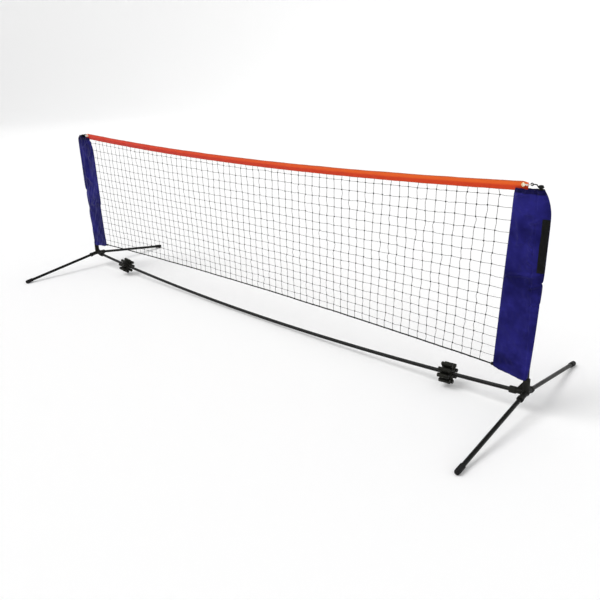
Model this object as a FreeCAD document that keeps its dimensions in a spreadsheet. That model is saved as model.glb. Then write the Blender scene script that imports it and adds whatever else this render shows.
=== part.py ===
"""Portable badminton net: a net with two pole sleeves, held up by a free-standing tube frame.

The frame stands on four feet. X runs along the net, Y across it, Z up; the origin is on the
floor under the middle of the net. Lengths are in millimetres and angles in degrees.
"""
import FreeCAD, Part
import math
import os
import re

import Sketcher
from FreeCAD import Placement, Rotation, Vector

OUTPUT_FOLDER = "parts"
SHEET_NAME = "Dimensions"
X_AXIS = Vector(1, 0, 0)
Y_AXIS = Vector(0, 1, 0)
Z_AXIS = Vector(0, 0, 1)
HALF_TURN = Rotation(Z_AXIS, 180)

# alias, value, what it measures
DRIVING_DIMENSIONS = [
    ("BaseSpacing", 2940.0, "between the centres of the two base connectors"),
    ("HubHeight", 82.5, "centre of a base connector above the floor"),
    ("BarSag", 62.4, "how far the crossbar bows down at the middle"),
    ("BarSections", 6, "tubes that plug together into the crossbar"),
    ("PostTop", 826.5, "top end of a post's tube above the floor"),
    ("PostLean", 29.0, "how far a post's top is pulled in by the net"),
    ("PostSplit", 395.0, "where a post's two tubes meet, along the post from the hub"),
    ("FootReach", 494.0, "from the hub to the centre of a foot's rounded end, across the net"),
    ("FootTipHeight", 10.0, "centre of a foot's rounded end above the floor"),
    ("TubeDiameter", 16.0, "outside of every frame tube"),
    ("TubeWall", 1.2, "wall of every frame tube"),
    ("SpigotLength", 35.0, "swaged end that plugs into the next tube"),
    ("SpigotWall", 1.0, "wall of the swaged end"),
    ("ShoulderLength", 3.0, "step between a tube and its swaged end"),
    ("FitGap", 0.05, "radial clearance of a tube in a socket"),
    ("TubeInset", 17.0, "from the hub's centre to the end of a tube in its socket"),
    ("HubBall", 28.0, "diameter of the connector's solid middle"),
    ("PostSocketLength", 56.0, "post socket, from the hub's centre"),
    ("PostSocketDiameter", 26.0, "outside of the post socket"),
    ("BarSocketLength", 62.0, "crossbar socket, from the hub's centre"),
    ("BarSocketDiameter", 22.0, "outside of the crossbar socket behind its collar"),
    ("BarCollarLength", 26.0, "thick collar at the crossbar socket's mouth"),
    ("BarCollarDiameter", 27.5, "outside of that collar"),
    ("FootSocketLength", 52.0, "foot socket, from the hub's centre"),
    ("FootSocketDiameter", 22.0, "outside of a foot socket behind its collar"),
    ("FootCollarLength", 12.0, "collar at a foot socket's mouth"),
    ("FootCollarDiameter", 25.5, "outside of that collar"),
    ("RimChamfer", 1.0, "bevel around each socket's mouth"),
    ("WebLength", 42.0, "gusset along the crossbar socket, from the hub's centre"),
    ("WebHeight", 40.0, "gusset up the post socket, from the hub's centre"),
    ("WebThickness", 6.0, "gusset, across"),
    ("WebInset", 4.0, "gusset's upright edge from the hub's centre"),
    ("WebTopWidth", 10.0, "gusset's width at its top"),
    ("FootCapDiameter", 21.0, "outside of the rounded foot cap"),
    ("FootCapGrip", 34.0, "straight part of the foot cap"),
    ("FootCapFloor", 4.0, "solid part of the cap before its rounded end"),
    ("PostCapDiameter", 19.0, "outside of the post cap's skirt"),
    ("PostCapSkirt", 14.0, "skirt over the tube"),
    ("PostCapNeckDiameter", 12.0, "neck that the hook sits on"),
    ("PostCapTop", 18.4, "top of the cap above the tube's end"),
    ("PostCapShoulder", 5.6, "top of the skirt above the tube's end"),
    ("PostCapNeckStart", 6.8, "lower end of the neck above the tube's end"),
    ("PostCapNeckEnd", 13.2, "upper end of the neck above the tube's end"),
    ("HookHeight", 10.0, "middle of the hook's ring above the tube's end"),
    ("HookRingRadius", 8.2, "ring of the hook, to the wire's middle"),
    ("HookWire", 3.8, "thickness of the hook's wire"),
    ("HookReach", 31.0, "from the post's axis to the hook's eye"),
    ("HookRise", 7.5, "eye above the ring"),
    ("EyeRadius", 4.0, "eye of the hook, to the wire's middle"),
    ("EyeWire", 3.2, "thickness of the eye's wire"),
    ("ClipLength", 48.0, "storage clip, along the crossbar"),
    ("ClipHubDiameter", 31.0, "middle of the clip, around the crossbar"),
    ("ClipBoreGap", 0.08, "radial clearance of the clip on the crossbar"),
    ("ChannelDiameter", 16.4, "inside of each open channel of the clip, for one tube"),
    ("ChannelWall", 4.0, "wall of each channel"),
    ("ChannelMouth", 4.4, "how far the channel's wall runs past its middle"),
    ("LipDiameter", 16.6, "thick rounded lip along each edge of a channel"),
    ("LipReach", 8.3, "lip's middle past the channel's middle"),
    ("LipHalfGap", 14.3, "lip's middle from the channel's centre plane"),
    ("ClipRightX", 1147.0, "where the right clip sits along the net"),
    ("ClipLeftX", -1132.0, "where the left clip sits along the net"),
    ("ClipRightTilt", -25.0, "right clip's front channel, its mouth above level"),
    ("ClipLeftTilt", -51.0, "left clip's front channel, its mouth above level"),
    ("BandMiddleTop", 817.0, "top edge of the band at the middle of the net"),
    ("BandSag", 35.9, "how far the band's top edge drops from its ends to the middle"),
    ("BandHeight", 31.4, "height of the folded band"),
    ("BandThickness", 3.0, "thickness of the folded band"),
    ("BandHalfLength", 1348.5, "middle to where the band enters a sleeve"),
    ("BandTabHeight", 20.5, "height of the band's end above the sleeve"),
    ("BandTabHalfLength", 1398.0, "middle to the band's very end"),
    ("EyeletX", 1381.0, "middle of the net to an eyelet"),
    ("EyeletZ", 840.5, "eyelet above the floor"),
    ("EyeletHole", 8.0, "clear hole of an eyelet"),
    ("EyeletBarrel", 9.6, "barrel of an eyelet"),
    ("EyeletFlange", 15.0, "flange of an eyelet"),
    ("EyeletHalfDepth", 2.4, "eyelet's face from the net's plane"),
    ("EyeletGap", 0.2, "clearance of an eyelet's barrel in the band"),
    ("TieCordDiameter", 3.0, "cord loop between eyelet and hook"),
    ("TieHalfWidth", 5.0, "each strand of that loop from the net's plane"),
    ("BottomCordMiddle", 179.0, "bottom cord above the floor at the middle"),
    ("BottomCordRise", 21.7, "how far the bottom cord arches up from its ends"),
    ("BottomCordHalfSpan", 1332.0, "middle to where the cord enters a sleeve"),
    ("BottomCordDiameter", 3.6, "bottom cord"),
    ("NetThickness", 1.2, "slab that stands for the knotted twine"),
    ("NetBottom", 150.0, "lower edge of that slab before the cord's arch is cut from it"),
    ("NetGap", 0.5, "clearance around that slab"),
    ("SleevePanel", 4.0, "flattened part of a sleeve, across"),
    ("SleeveTunnelDiameter", 24.0, "round part of a sleeve, around the post"),
    ("SleeveTunnelHole", 20.4, "inside of that round part"),
    ("SleeveBottom", 141.5, "lowest part of a sleeve's round part"),
    ("SleeveTop", 828.0, "top of a sleeve"),
    ("SleeveInnerTop", 1351.5, "sleeve's inner edge at the top"),
    ("SleeveInnerBottom", 1333.0, "sleeve's inner edge at the bottom"),
    ("SleeveInnerCorner", 151.0, "height of the sleeve's lower inner corner"),
    ("StripWidth", 20.5, "hook-and-loop strip"),
    ("StripLength", 187.0, "hook-and-loop strip"),
    ("StripThickness", 1.2, "hook-and-loop strip"),
    ("StripGap", 0.05, "clearance between the strip and the sleeve"),
    ("StripX", 1464.5, "strip's inner edge"),
    ("StripZ", 547.0, "strip's lower end"),
]

# Outer edge of a sleeve as (x, z), from the bottom to the top.
SLEEVE_OUTER_EDGE = [
    ("1440", "SleeveBottom"),
    ("1474", "146"),
    ("1479", "300"),
    ("1485", "560"),
    ("1484", "735"),
    ("1455", "SleeveTop"),
]

# Rounded head of a post cap as (radius, height above the tube's end), from the neck to the top.
POST_CAP_HEAD = [("8.2", "14"), ("8.6", "15.2"), ("7.2", "17.2"), ("4", "18.2")]

# Sizes of cutting tools, which only have to reach past what they cut.
OVERRUN = 20
FLOOR_BLOCK_SIDE = 100
FLOOR_BLOCK_HEIGHT = 20
NET_CUT_DEPTH = 10
MOUTH_BLOCK_WIDTH = 50
MOUTH_BLOCK_REACH = 30

ALIASES = [row[0] for row in DRIVING_DIMENSIONS]
ALIAS_PATTERN = re.compile(r"\b(" + "|".join(ALIASES) + r")\b")

TUBE_RADIUS = "TubeDiameter / 2"
TUBE_BORE = "(TubeDiameter / 2 - TubeWall)"
SHOULDER_RADIUS = "(TubeDiameter / 2 - TubeWall / 2)"
SPIGOT_RADIUS = "(TubeDiameter / 2 - TubeWall - FitGap)"
SPIGOT_BORE = "(TubeDiameter / 2 - TubeWall - FitGap - SpigotWall)"
SOCKET_BORE = "TubeDiameter / 2 + FitGap"
CHANNEL_OFFSET = "(ClipHubDiameter / 2 + ChannelDiameter / 2)"


def arc_radius(half_span, rise):
    """Expression for the radius of an arc of this half span that rises or sags this much."""
    return f"((({half_span}) ^ 2 + ({rise}) ^ 2) / (2 * ({rise})))"


BAR_RADIUS = arc_radius("BaseSpacing / 2", "BarSag")
BAND_RADIUS = arc_radius("BandTabHalfLength", "BandSag")
CORD_RADIUS = arc_radius("BottomCordHalfSpan", "BottomCordRise")

doc = FreeCAD.newDocument("portable_badminton_net")
sheet = doc.addObject("Spreadsheet::Sheet", SHEET_NAME)
finished_parts = []


def fill_sheet():
    """Write one row for each driving dimension: name, value, meaning."""
    for row, (alias, value, meaning) in enumerate(DRIVING_DIMENSIONS, start=1):
        sheet.set(f"A{row}", alias)
        sheet.set(f"B{row}", str(value))
        sheet.set(f"C{row}", meaning)
        sheet.setAlias(f"B{row}", alias)
    doc.recompute()


def to_sheet(expression):
    """Turn a formula of aliases into one that FreeCAD resolves in the sheet."""
    return ALIAS_PATTERN.sub(SHEET_NAME + r".\1", expression)


def value_of(expression):
    """Number that a formula of aliases gives now."""
    result = sheet.evalExpression(to_sheet(expression))
    return float(getattr(result, "Value", result))


def bind(feature, **sizes):
    """Bind properties of a feature to formulas of the sheet's aliases."""
    for name, expression in sizes.items():
        feature.setExpression(name, to_sheet(expression))


def finish(piece, node, placement=None):
    """Label a sub-part with its node's name, place it and keep it for export."""
    piece.Label = node
    if placement is not None:
        piece.Placement = placement
    finished_parts.append(piece)
    return piece


# ---------------------------------------------------------------- Part primitives and booleans
def primitive(kind, name, position=(0, 0, 0), rotation=None, **sizes):
    """Part primitive with bound sizes."""
    piece = doc.addObject("Part::" + kind, name)
    bind(piece, **sizes)
    piece.Placement = Placement(Vector(*position), rotation or Rotation())
    return piece


def cylinder(name, radius, length, position=(0, 0, 0), axis=Z_AXIS):
    """Solid cylinder that starts at a point and runs along an axis."""
    return primitive("Cylinder", name, position, Rotation(Z_AXIS, Vector(axis)),
                     Radius=radius, Height=length)


def fuse(name, pieces):
    """Union of several pieces."""
    union = doc.addObject("Part::MultiFuse", name)
    union.Shapes = pieces
    return union


def cut(name, base, tool):
    """Base less tool."""
    difference = doc.addObject("Part::Cut", name)
    difference.Base = base
    difference.Tool = tool
    return difference


# ---------------------------------------------------------------- PartDesign bodies
def new_body(name):
    """Empty PartDesign body."""
    return doc.addObject("PartDesign::Body", name)


def sketch_on(body, role, name):
    """Sketch on one of the body's own origin planes."""
    sketch = body.newObject("Sketcher::SketchObject", name)
    plane = next(f for f in body.Origin.OriginFeatures if f.Role == role)
    sketch.AttachmentSupport = [(plane, "")]
    sketch.MapMode = "FlatFace"
    return sketch


def constrain_coordinate(sketch, kind, edge, point, label, expression):
    """Hold one coordinate of a sketch point at a formula's value."""
    axis_line = -2 if kind == "DistanceX" else -1
    if expression == "0":
        sketch.addConstraint(Sketcher.Constraint("PointOnObject", edge, point, axis_line))
        return
    number = sketch.addConstraint(
        Sketcher.Constraint(kind, -1, 1, edge, point, value_of(expression)))
    sketch.renameConstraint(number, label)
    sketch.setExpression("Constraints." + label, to_sheet(expression))


def add_polygon(sketch, corners):
    """Closed polygon whose corners are held at formulas of the sheet."""
    points = [Vector(value_of(x), value_of(y), 0) for x, y in corners]
    edges = []
    for start, end in zip(points, points[1:] + points[:1]):
        edges.append(sketch.addGeometry(Part.LineSegment(start, end)))
    for number, edge in enumerate(edges):
        following = edges[(number + 1) % len(edges)]
        sketch.addConstraint(Sketcher.Constraint("Coincident", edge, 2, following, 1))
    for number, (x, y) in enumerate(corners):
        constrain_coordinate(sketch, "DistanceX", edges[number], 1, f"x{number}", x)
        constrain_coordinate(sketch, "DistanceY", edges[number], 1, f"y{number}", y)


def add_circle(sketch, radius, label, height="0"):
    """Circle on the sketch's vertical axis, at a height."""
    circle = Part.Circle(Vector(0, value_of(height), 0), Z_AXIS, value_of(radius))
    edge = sketch.addGeometry(circle)
    number = sketch.addConstraint(Sketcher.Constraint("Radius", edge, value_of(radius)))
    sketch.renameConstraint(number, label)
    sketch.setExpression("Constraints." + label, to_sheet(radius))
    constrain_coordinate(sketch, "DistanceX", edge, 3, label + "_x", "0")
    constrain_coordinate(sketch, "DistanceY", edge, 3, label + "_y", height)


def revolve(body, sketch, name, axis, angle="360", midplane=False):
    """Revolve a sketch of this body about its own H_Axis or V_Axis."""
    turned = body.newObject("PartDesign::Revolution", name)
    turned.Profile = sketch
    turned.ReferenceAxis = (sketch, [axis])
    turned.Midplane = midplane
    turned.setExpression("Angle", to_sheet(angle))
    body.Tip = turned
    return turned


def turned_body(name, corners):
    """Solid of revolution about Z from a half section of (radius, height) corners."""
    body = new_body(name)
    sketch = sketch_on(body, "XZ_Plane", name + "_section")
    add_polygon(sketch, corners)
    revolve(body, sketch, name + "_turned", "V_Axis")
    return body


def swept_ring(body, name, arc, outer, inner, angle):
    """Ring section swept about the Y axis at the bottom of an arc of this radius."""
    sketch = sketch_on(body, "YZ_Plane", name + "_section")
    add_circle(sketch, outer, "outer", f"-({arc})")
    add_circle(sketch, inner, "inner", f"-({arc})")
    return revolve(body, sketch, name, "H_Axis", angle)


def straight_ring(body, name, arc, outer, inner, length, reverse=False):
    """Ring section padded along X from the bottom of an arc of this radius."""
    sketch = sketch_on(body, "YZ_Plane", name + "_section")
    add_circle(sketch, outer, "outer", f"-({arc})")
    add_circle(sketch, inner, "inner", f"-({arc})")
    pad = body.newObject("PartDesign::Pad", name)
    pad.Profile = sketch
    pad.Reversed = reverse
    bind(pad, Length=length)
    body.Tip = pad
    return pad


def swept_strip(body, name, arc, height, thickness, half_length):
    """Upright strip swept about the Y axis, its inner edge on an arc of this radius."""
    sketch = sketch_on(body, "YZ_Plane", name + "_section")
    half = f"({thickness}) / 2"
    add_polygon(sketch, [(f"-{half}", f"-({arc}) - ({height})"), (half, f"-({arc}) - ({height})"),
                         (half, f"-({arc})"), (f"-{half}", f"-({arc})")])
    angle = f"2 * asin(({half_length}) / ({arc}))"
    return revolve(body, sketch, name, "H_Axis", angle, midplane=True)


def upright_panel(body, name, corners, thickness):
    """Flat panel of (x, z) corners, centred on the plane y = 0."""
    sketch = sketch_on(body, "XZ_Plane", name + "_outline")
    add_polygon(sketch, corners)
    pad = body.newObject("PartDesign::Pad", name)
    pad.Profile = sketch
    pad.Midplane = True
    bind(pad, Length=thickness)
    body.Tip = pad
    return pad


def body_cylinder(body, kind, name, radius, length, position, axis):
    """Cylinder added to or taken from a body; kind is Additive or Subtractive."""
    piece = body.newObject(f"PartDesign::{kind}Cylinder", name)
    bind(piece, Radius=radius, Height=length)
    piece.Placement = Placement(Vector(*position), Rotation(Z_AXIS, Vector(axis)))
    body.Tip = piece
    return piece


# ---------------------------------------------------------------- directions from the hub
def hub_point(side):
    """Centre of the left (-1) or right (+1) base connector."""
    return Vector(side * value_of("BaseSpacing / 2"), 0, value_of("HubHeight"))


def post_direction(side):
    """Along a post, upwards; its top leans in towards the net."""
    rise = value_of("PostTop - HubHeight")
    return Vector(-side * value_of("PostLean"), 0, rise).normalize()


def foot_direction(end):
    """Along a foot, outwards and down; end is -1 for front and +1 for rear."""
    drop = value_of("HubHeight - FootTipHeight")
    return Vector(0, end * value_of("FootReach"), -drop).normalize()


def post_length():
    """From the hub's centre to the top end of the post."""
    return math.hypot(value_of("PostTop - HubHeight"), value_of("PostLean"))


def foot_length():
    """From the hub's centre to the centre of the foot's rounded end."""
    return math.hypot(value_of("FootReach"), value_of("HubHeight - FootTipHeight"))


def bar_angle(x):
    """Degrees around the crossbar's arc at a distance x from its middle."""
    return math.degrees(math.asin(x / value_of(BAR_RADIUS)))


def bar_point(x):
    """Point on the crossbar's centre line."""
    radius = value_of(BAR_RADIUS)
    low = value_of("HubHeight - BarSag")
    return Vector(x, 0, low + radius - math.sqrt(radius ** 2 - x ** 2))


def bar_direction(x):
    """Along the crossbar's centre line, towards +X."""
    angle = math.radians(bar_angle(x))
    return Vector(math.cos(angle), 0, math.sin(angle))


# ---------------------------------------------------------------- frame tubes
def plain_tube_section(length):
    """Half section of a plain tube that starts at height 0."""
    return [(TUBE_BORE, "0"), (TUBE_RADIUS, "0"), (TUBE_RADIUS, length), (TUBE_BORE, length)]


def swaged_tube_section(length):
    """Half section of a tube whose top end is swaged down to plug into the next one."""
    shoulder = f"({length}) - ShoulderLength"
    tip = f"({length}) + SpigotLength"
    return [(TUBE_BORE, "0"), (TUBE_RADIUS, "0"), (TUBE_RADIUS, length), (SPIGOT_RADIUS, length),
            (SPIGOT_RADIUS, tip), (SPIGOT_BORE, tip), (SPIGOT_BORE, shoulder), (TUBE_BORE, shoulder)]


def build_crossbar():
    """Curved tubes, plugged end to end, that tie the two bases together."""
    count = int(value_of("BarSections"))
    half = value_of("BaseSpacing / 2 - TubeInset")
    centre = Vector(0, 0, value_of("HubHeight - BarSag") + value_of(BAR_RADIUS))
    joints = [-half + 2 * half * number / count for number in range(count + 1)]
    for number in range(count):
        name = f"crossbar_tube_{number + 1}"
        body = new_body(name)
        start, end = bar_angle(joints[number]), bar_angle(joints[number + 1])
        swept_ring(body, name + "_tube", BAR_RADIUS, TUBE_RADIUS, TUBE_BORE, str(end - start))
        if number < count - 1:
            straight_ring(body, name + "_shoulder", BAR_RADIUS, SHOULDER_RADIUS, SPIGOT_BORE,
                          "ShoulderLength", reverse=True)
            straight_ring(body, name + "_spigot", BAR_RADIUS, SPIGOT_RADIUS, SPIGOT_BORE,
                          "SpigotLength")
        finish(body, name, Placement(centre, Rotation(Y_AXIS, -end)))


def build_post(side, name):
    """Two tubes, the upper one pushed on the lower one's swaged end, and a cap."""
    hub = hub_point(side)
    along = post_direction(side)
    upright = Rotation(Z_AXIS, along)
    foot = hub + along * value_of("TubeInset")
    middle = hub + along * value_of("PostSplit")
    top = hub + along * post_length()
    lower = turned_body(f"post_lower_{name}", swaged_tube_section("PostSplit - TubeInset"))
    finish(lower, f"post_lower_{name}", Placement(foot, upright))
    upper = turned_body(f"post_upper_{name}",
                        plain_tube_section(f"{post_length()} - PostSplit"))
    finish(upper, f"post_upper_{name}", Placement(middle, upright))
    bore = SOCKET_BORE
    skirt, neck = "PostCapDiameter / 2", "PostCapNeckDiameter / 2"
    cap_section = [(bore, "-PostCapSkirt"), (skirt, "-PostCapSkirt"), (skirt, "PostCapShoulder"),
                   (neck, "PostCapNeckStart"), (neck, "PostCapNeckEnd")]
    cap_section += POST_CAP_HEAD
    cap_section += [("0", "PostCapTop"), ("0", "FitGap"), (bore, "FitGap")]
    cap = turned_body(f"post_cap_{name}", cap_section)
    finish(cap, f"post_cap_{name}", Placement(top, upright))


def build_hook(side, name):
    """Hook whose ring sits on the post cap's neck and whose eye holds the tie loop."""
    along = post_direction(side)
    centre = hub_point(side) + along * (post_length() + value_of("HookHeight"))
    reach, rise = value_of("HookReach"), value_of("HookRise")
    arm_start = Vector(-value_of("HookRingRadius"), 0, 0)
    eye = Vector(-reach, 0, rise)
    towards_eye = (eye - arm_start).normalize()
    arm_length = f"{(eye - arm_start).Length} - EyeRadius"
    ring = primitive("Torus", f"hook_ring_{name}", Radius1="HookRingRadius", Radius2="HookWire / 2")
    arm = cylinder(f"hook_arm_{name}", "HookWire / 2", arm_length, arm_start, towards_eye)
    loop = primitive("Torus", f"hook_eye_{name}", eye, Rotation(Z_AXIS, Y_AXIS),
                     Radius1="EyeRadius", Radius2="EyeWire / 2")
    hook = fuse(f"cord_hook_{name}", [ring, arm, loop])
    turn = Rotation() if side > 0 else HALF_TURN
    finish(hook, f"cord_hook_{name}", Placement(centre, turn))
    return centre + turn.multVec(eye)


def build_foot(side, end, name):
    """Sloping foot tube and the rounded cap that rests on the floor."""
    hub = hub_point(side)
    along = foot_direction(end)
    turn = Rotation() if end > 0 else HALF_TURN
    slope = math.degrees(math.asin(-along.z))
    outwards = turn * Rotation(X_AXIS, -90 - slope)
    tube = turned_body(f"foot_tube_{name}",
                       plain_tube_section(f"{foot_length()} - FootCapFloor - TubeInset"))
    finish(tube, f"foot_tube_{name}",
           Placement(hub + along * value_of("TubeInset"), outwards))
    grip = cylinder(f"foot_grip_{name}", "FootCapDiameter / 2", "FootCapGrip",
                    (0, 0, -value_of("FootCapGrip")))
    dome = primitive("Sphere", f"foot_dome_{name}", Radius="FootCapDiameter / 2")
    bore = cylinder(f"foot_bore_{name}", SOCKET_BORE, "FootCapGrip + 1",
                    (0, 0, -value_of("FootCapGrip + FootCapFloor + 1")))
    level = Rotation(X_AXIS, 90 + slope)
    half_side = FLOOR_BLOCK_SIDE / 2
    corner = Vector(-half_side, -half_side, -value_of("FootTipHeight") - FLOOR_BLOCK_HEIGHT)
    floor_block = primitive("Box", f"foot_floor_{name}", level.multVec(corner), level,
                            Length=str(FLOOR_BLOCK_SIDE), Width=str(FLOOR_BLOCK_SIDE),
                            Height=str(FLOOR_BLOCK_HEIGHT))
    cap = cut(f"foot_cap_{name}", fuse(f"foot_round_{name}", [grip, dome]),
              fuse(f"foot_cuts_{name}", [bore, floor_block]))
    finish(cap, f"foot_cap_{name}", Placement(hub + along * foot_length(), outwards))


def build_base_connector(side, name):
    """Moulded hub with sockets for the post, the crossbar and two feet, and a gusset."""
    post = post_direction(1)
    bar = bar_direction(value_of("BaseSpacing / 2")) * -1
    feet = [foot_direction(-1), foot_direction(1)]
    solids = [primitive("Sphere", f"hub_ball_{name}", Radius="HubBall / 2")]
    bores = []

    def add_socket(label, along, diameter, length, collar, collar_length):
        solids.append(cylinder(f"{label}_wall_{name}", f"{diameter} / 2", length, (0, 0, 0), along))
        if collar:
            start = along * value_of(f"{length} - {collar_length}")
            solids.append(cylinder(f"{label}_collar_{name}", f"{collar} / 2", collar_length,
                                   start, along))
        bores.append(cylinder(f"{label}_bore_{name}", SOCKET_BORE, length,
                              along * value_of("TubeInset"), along))

    add_socket("post_socket", post, "PostSocketDiameter", "PostSocketLength", None, None)
    add_socket("bar_socket", bar, "BarSocketDiameter", "BarSocketLength",
               "BarCollarDiameter", "BarCollarLength")
    for label, along in zip(("front_socket", "rear_socket"), feet):
        add_socket(label, along, "FootSocketDiameter", "FootSocketLength",
                   "FootCollarDiameter", "FootCollarLength")
    half_web = value_of("WebThickness / 2")
    gusset = primitive("Wedge", f"gusset_{name}", (-value_of("WebInset"), -half_web, 0),
                       Rotation(X_AXIS * -1, Z_AXIS, Y_AXIS, "XYZ"),
                       Xmin="0", Ymin="0", Zmin="0", X2min="0", Z2min="0",
                       Xmax="WebLength - WebInset", Ymax="WebHeight", Zmax="WebThickness",
                       X2max="WebTopWidth", Z2max="WebThickness")
    rough = cut(f"connector_rough_{name}", fuse(f"connector_solid_{name}", solids + [gusset]),
                fuse(f"connector_bores_{name}", bores))
    doc.recompute()
    connector = doc.addObject("Part::Chamfer", f"base_connector_{name}")
    connector.Base = rough
    bevel = value_of("RimChamfer")
    rims = [value_of("PostSocketDiameter / 2"), value_of("BarCollarDiameter / 2"),
            value_of("FootCollarDiameter / 2")]
    connector.Edges = [(number, bevel, bevel)
                       for number, edge in enumerate(rough.Shape.Edges, start=1)
                       if is_full_circle(edge, rims)]
    finish(connector, f"base_connector_{name}",
           Placement(hub_point(side), Rotation() if side > 0 else HALF_TURN))


def is_full_circle(edge, radii):
    """Whether an edge is a whole circle of one of these radii."""
    if edge.Degenerated or not edge.isClosed() or not isinstance(edge.Curve, Part.Circle):
        return False
    return any(abs(edge.Curve.Radius - radius) < 0.001 for radius in radii)


# ---------------------------------------------------------------- storage clips
def build_storage_clip(x, tilt, name):
    """Moulding that turns on the crossbar and has four open channels for the packed tubes."""
    length = "ClipLength"
    half = value_of("ClipLength / 2")
    offset = value_of(CHANNEL_OFFSET)
    solids = [cylinder(f"clip_hub_{name}", "ClipHubDiameter / 2", length, (0, 0, -half))]
    hollows = [cylinder(f"clip_bore_{name}", "TubeDiameter / 2 + ClipBoreGap", "ClipLength + 2",
                        (0, 0, -half - 1))]
    lips = []
    for number in range(4):
        turn = Rotation(Z_AXIS, 90 * number)

        def at(along, across, up):
            return tuple(turn.multVec(Vector(along, across, up)))

        tag = f"{name}_{number}"
        solids.append(cylinder(f"channel_wall_{tag}", "ChannelDiameter / 2 + ChannelWall", length,
                               at(offset, 0, -half)))
        hollows.append(cylinder(f"channel_{tag}", "ChannelDiameter / 2", "ClipLength + 2",
                                at(offset, 0, -half - 1)))
        hollows.append(primitive(
            "Box", f"channel_mouth_{tag}",
            at(value_of(f"{CHANNEL_OFFSET} + ChannelMouth"), -MOUTH_BLOCK_WIDTH / 2, -half - 1),
            turn, Length=str(MOUTH_BLOCK_REACH), Width=str(MOUTH_BLOCK_WIDTH),
            Height="ClipLength + 2"))
        for across in (-1, 1):
            lips.append(cylinder(
                f"channel_lip_{tag}_{across + 1}", "LipDiameter / 2", length,
                at(value_of(f"{CHANNEL_OFFSET} + LipReach"),
                   across * value_of("LipHalfGap"), -half)))
    walls = cut(f"clip_walls_{name}", fuse(f"clip_solid_{name}", solids),
                fuse(f"clip_hollows_{name}", hollows))
    clip = fuse(f"storage_clip_{name}", [walls] + lips)
    along = bar_direction(x)
    mouth = Vector(0, -math.cos(math.radians(tilt)), math.sin(math.radians(tilt)))
    third = along.cross(mouth)
    finish(clip, f"storage_clip_{name}",
           Placement(bar_point(x), Rotation(mouth, third, along, "ZXY")))


# ---------------------------------------------------------------- net
def build_band():
    """Folded band along the net's top, with a shorter tab at each end for an eyelet."""
    body = new_body("top_band")
    centre_z = value_of(f"BandMiddleTop + {BAND_RADIUS}")
    swept_strip(body, "band_strip", BAND_RADIUS, "BandHeight", "BandThickness", "BandHalfLength")
    swept_strip(body, "band_tabs", BAND_RADIUS, "BandTabHeight", "BandThickness",
                "BandTabHalfLength")
    for side, name in ((-1, "left"), (1, "right")):
        position = (side * value_of("EyeletX"), -NET_CUT_DEPTH / 2, value_of("EyeletZ") - centre_z)
        body_cylinder(body, "Subtractive", f"band_hole_{name}", "EyeletBarrel / 2 + EyeletGap",
                      str(NET_CUT_DEPTH), position, Y_AXIS)
    finish(body, "top_band", Placement(Vector(0, 0, centre_z), Rotation()))


def build_eyelet(side, name):
    """Metal eyelet set in the band's end."""
    hole, barrel, flange = "EyeletHole / 2", "EyeletBarrel / 2", "EyeletFlange / 2"
    face, inside = "EyeletHalfDepth", "(BandThickness / 2 + 0.1)"
    body = turned_body(f"band_eyelet_{name}", [
        (hole, f"-{face}"), (flange, f"-{face}"), (flange, f"-{inside}"), (barrel, f"-{inside}"),
        (barrel, inside), (flange, inside), (flange, face), (hole, face)])
    position = Vector(side * value_of("EyeletX"), 0, value_of("EyeletZ"))
    finish(body, f"band_eyelet_{name}", Placement(position, Rotation(Z_AXIS, Y_AXIS)))


def build_tie_loop(side, name, hook_eye):
    """Cord loop that passes through the eyelet and the hook's eye."""
    eyelet = Vector(side * value_of("EyeletX"), 0, value_of("EyeletZ"))
    span = hook_eye - eyelet
    half_width = value_of("TieHalfWidth")
    straight = span.Length - 2 * half_width
    pieces = []
    for end, start_angle in ((half_width, 90), (half_width + straight, -90)):
        pieces.append(primitive("Torus", f"tie_turn_{name}_{start_angle + 90}", (end, 0, 0),
                                Rotation(Z_AXIS, start_angle), Radius1="TieHalfWidth",
                                Radius2="TieCordDiameter / 2", Angle3="180"))
    for across in (-1, 1):
        pieces.append(cylinder(f"tie_strand_{name}_{across + 1}", "TieCordDiameter / 2",
                               str(straight), (half_width, across * half_width, 0), X_AXIS))
    loop = fuse(f"tie_loop_{name}", pieces)
    along = Vector(span).normalize()
    upwards = along.cross(Y_AXIS) * (1 if along.cross(Y_AXIS).z > 0 else -1)
    across_axis = upwards.cross(along)
    finish(loop, f"tie_loop_{name}",
           Placement(eyelet, Rotation(along, across_axis, upwards, "ZXY")))


def build_bottom_cord():
    """Cord laced along the net's lowest row of meshes, arched slightly up."""
    body = new_body("bottom_cord")
    sketch = sketch_on(body, "YZ_Plane", "bottom_cord_section")
    add_circle(sketch, "BottomCordDiameter / 2", "cord", CORD_RADIUS)
    revolve(body, sketch, "bottom_cord_sweep", "H_Axis",
            f"2 * asin(BottomCordHalfSpan / ({CORD_RADIUS}))", midplane=True)
    centre_z = value_of(f"BottomCordMiddle - {CORD_RADIUS}")
    finish(body, "bottom_cord", Placement(Vector(0, 0, centre_z), Rotation()))


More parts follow.
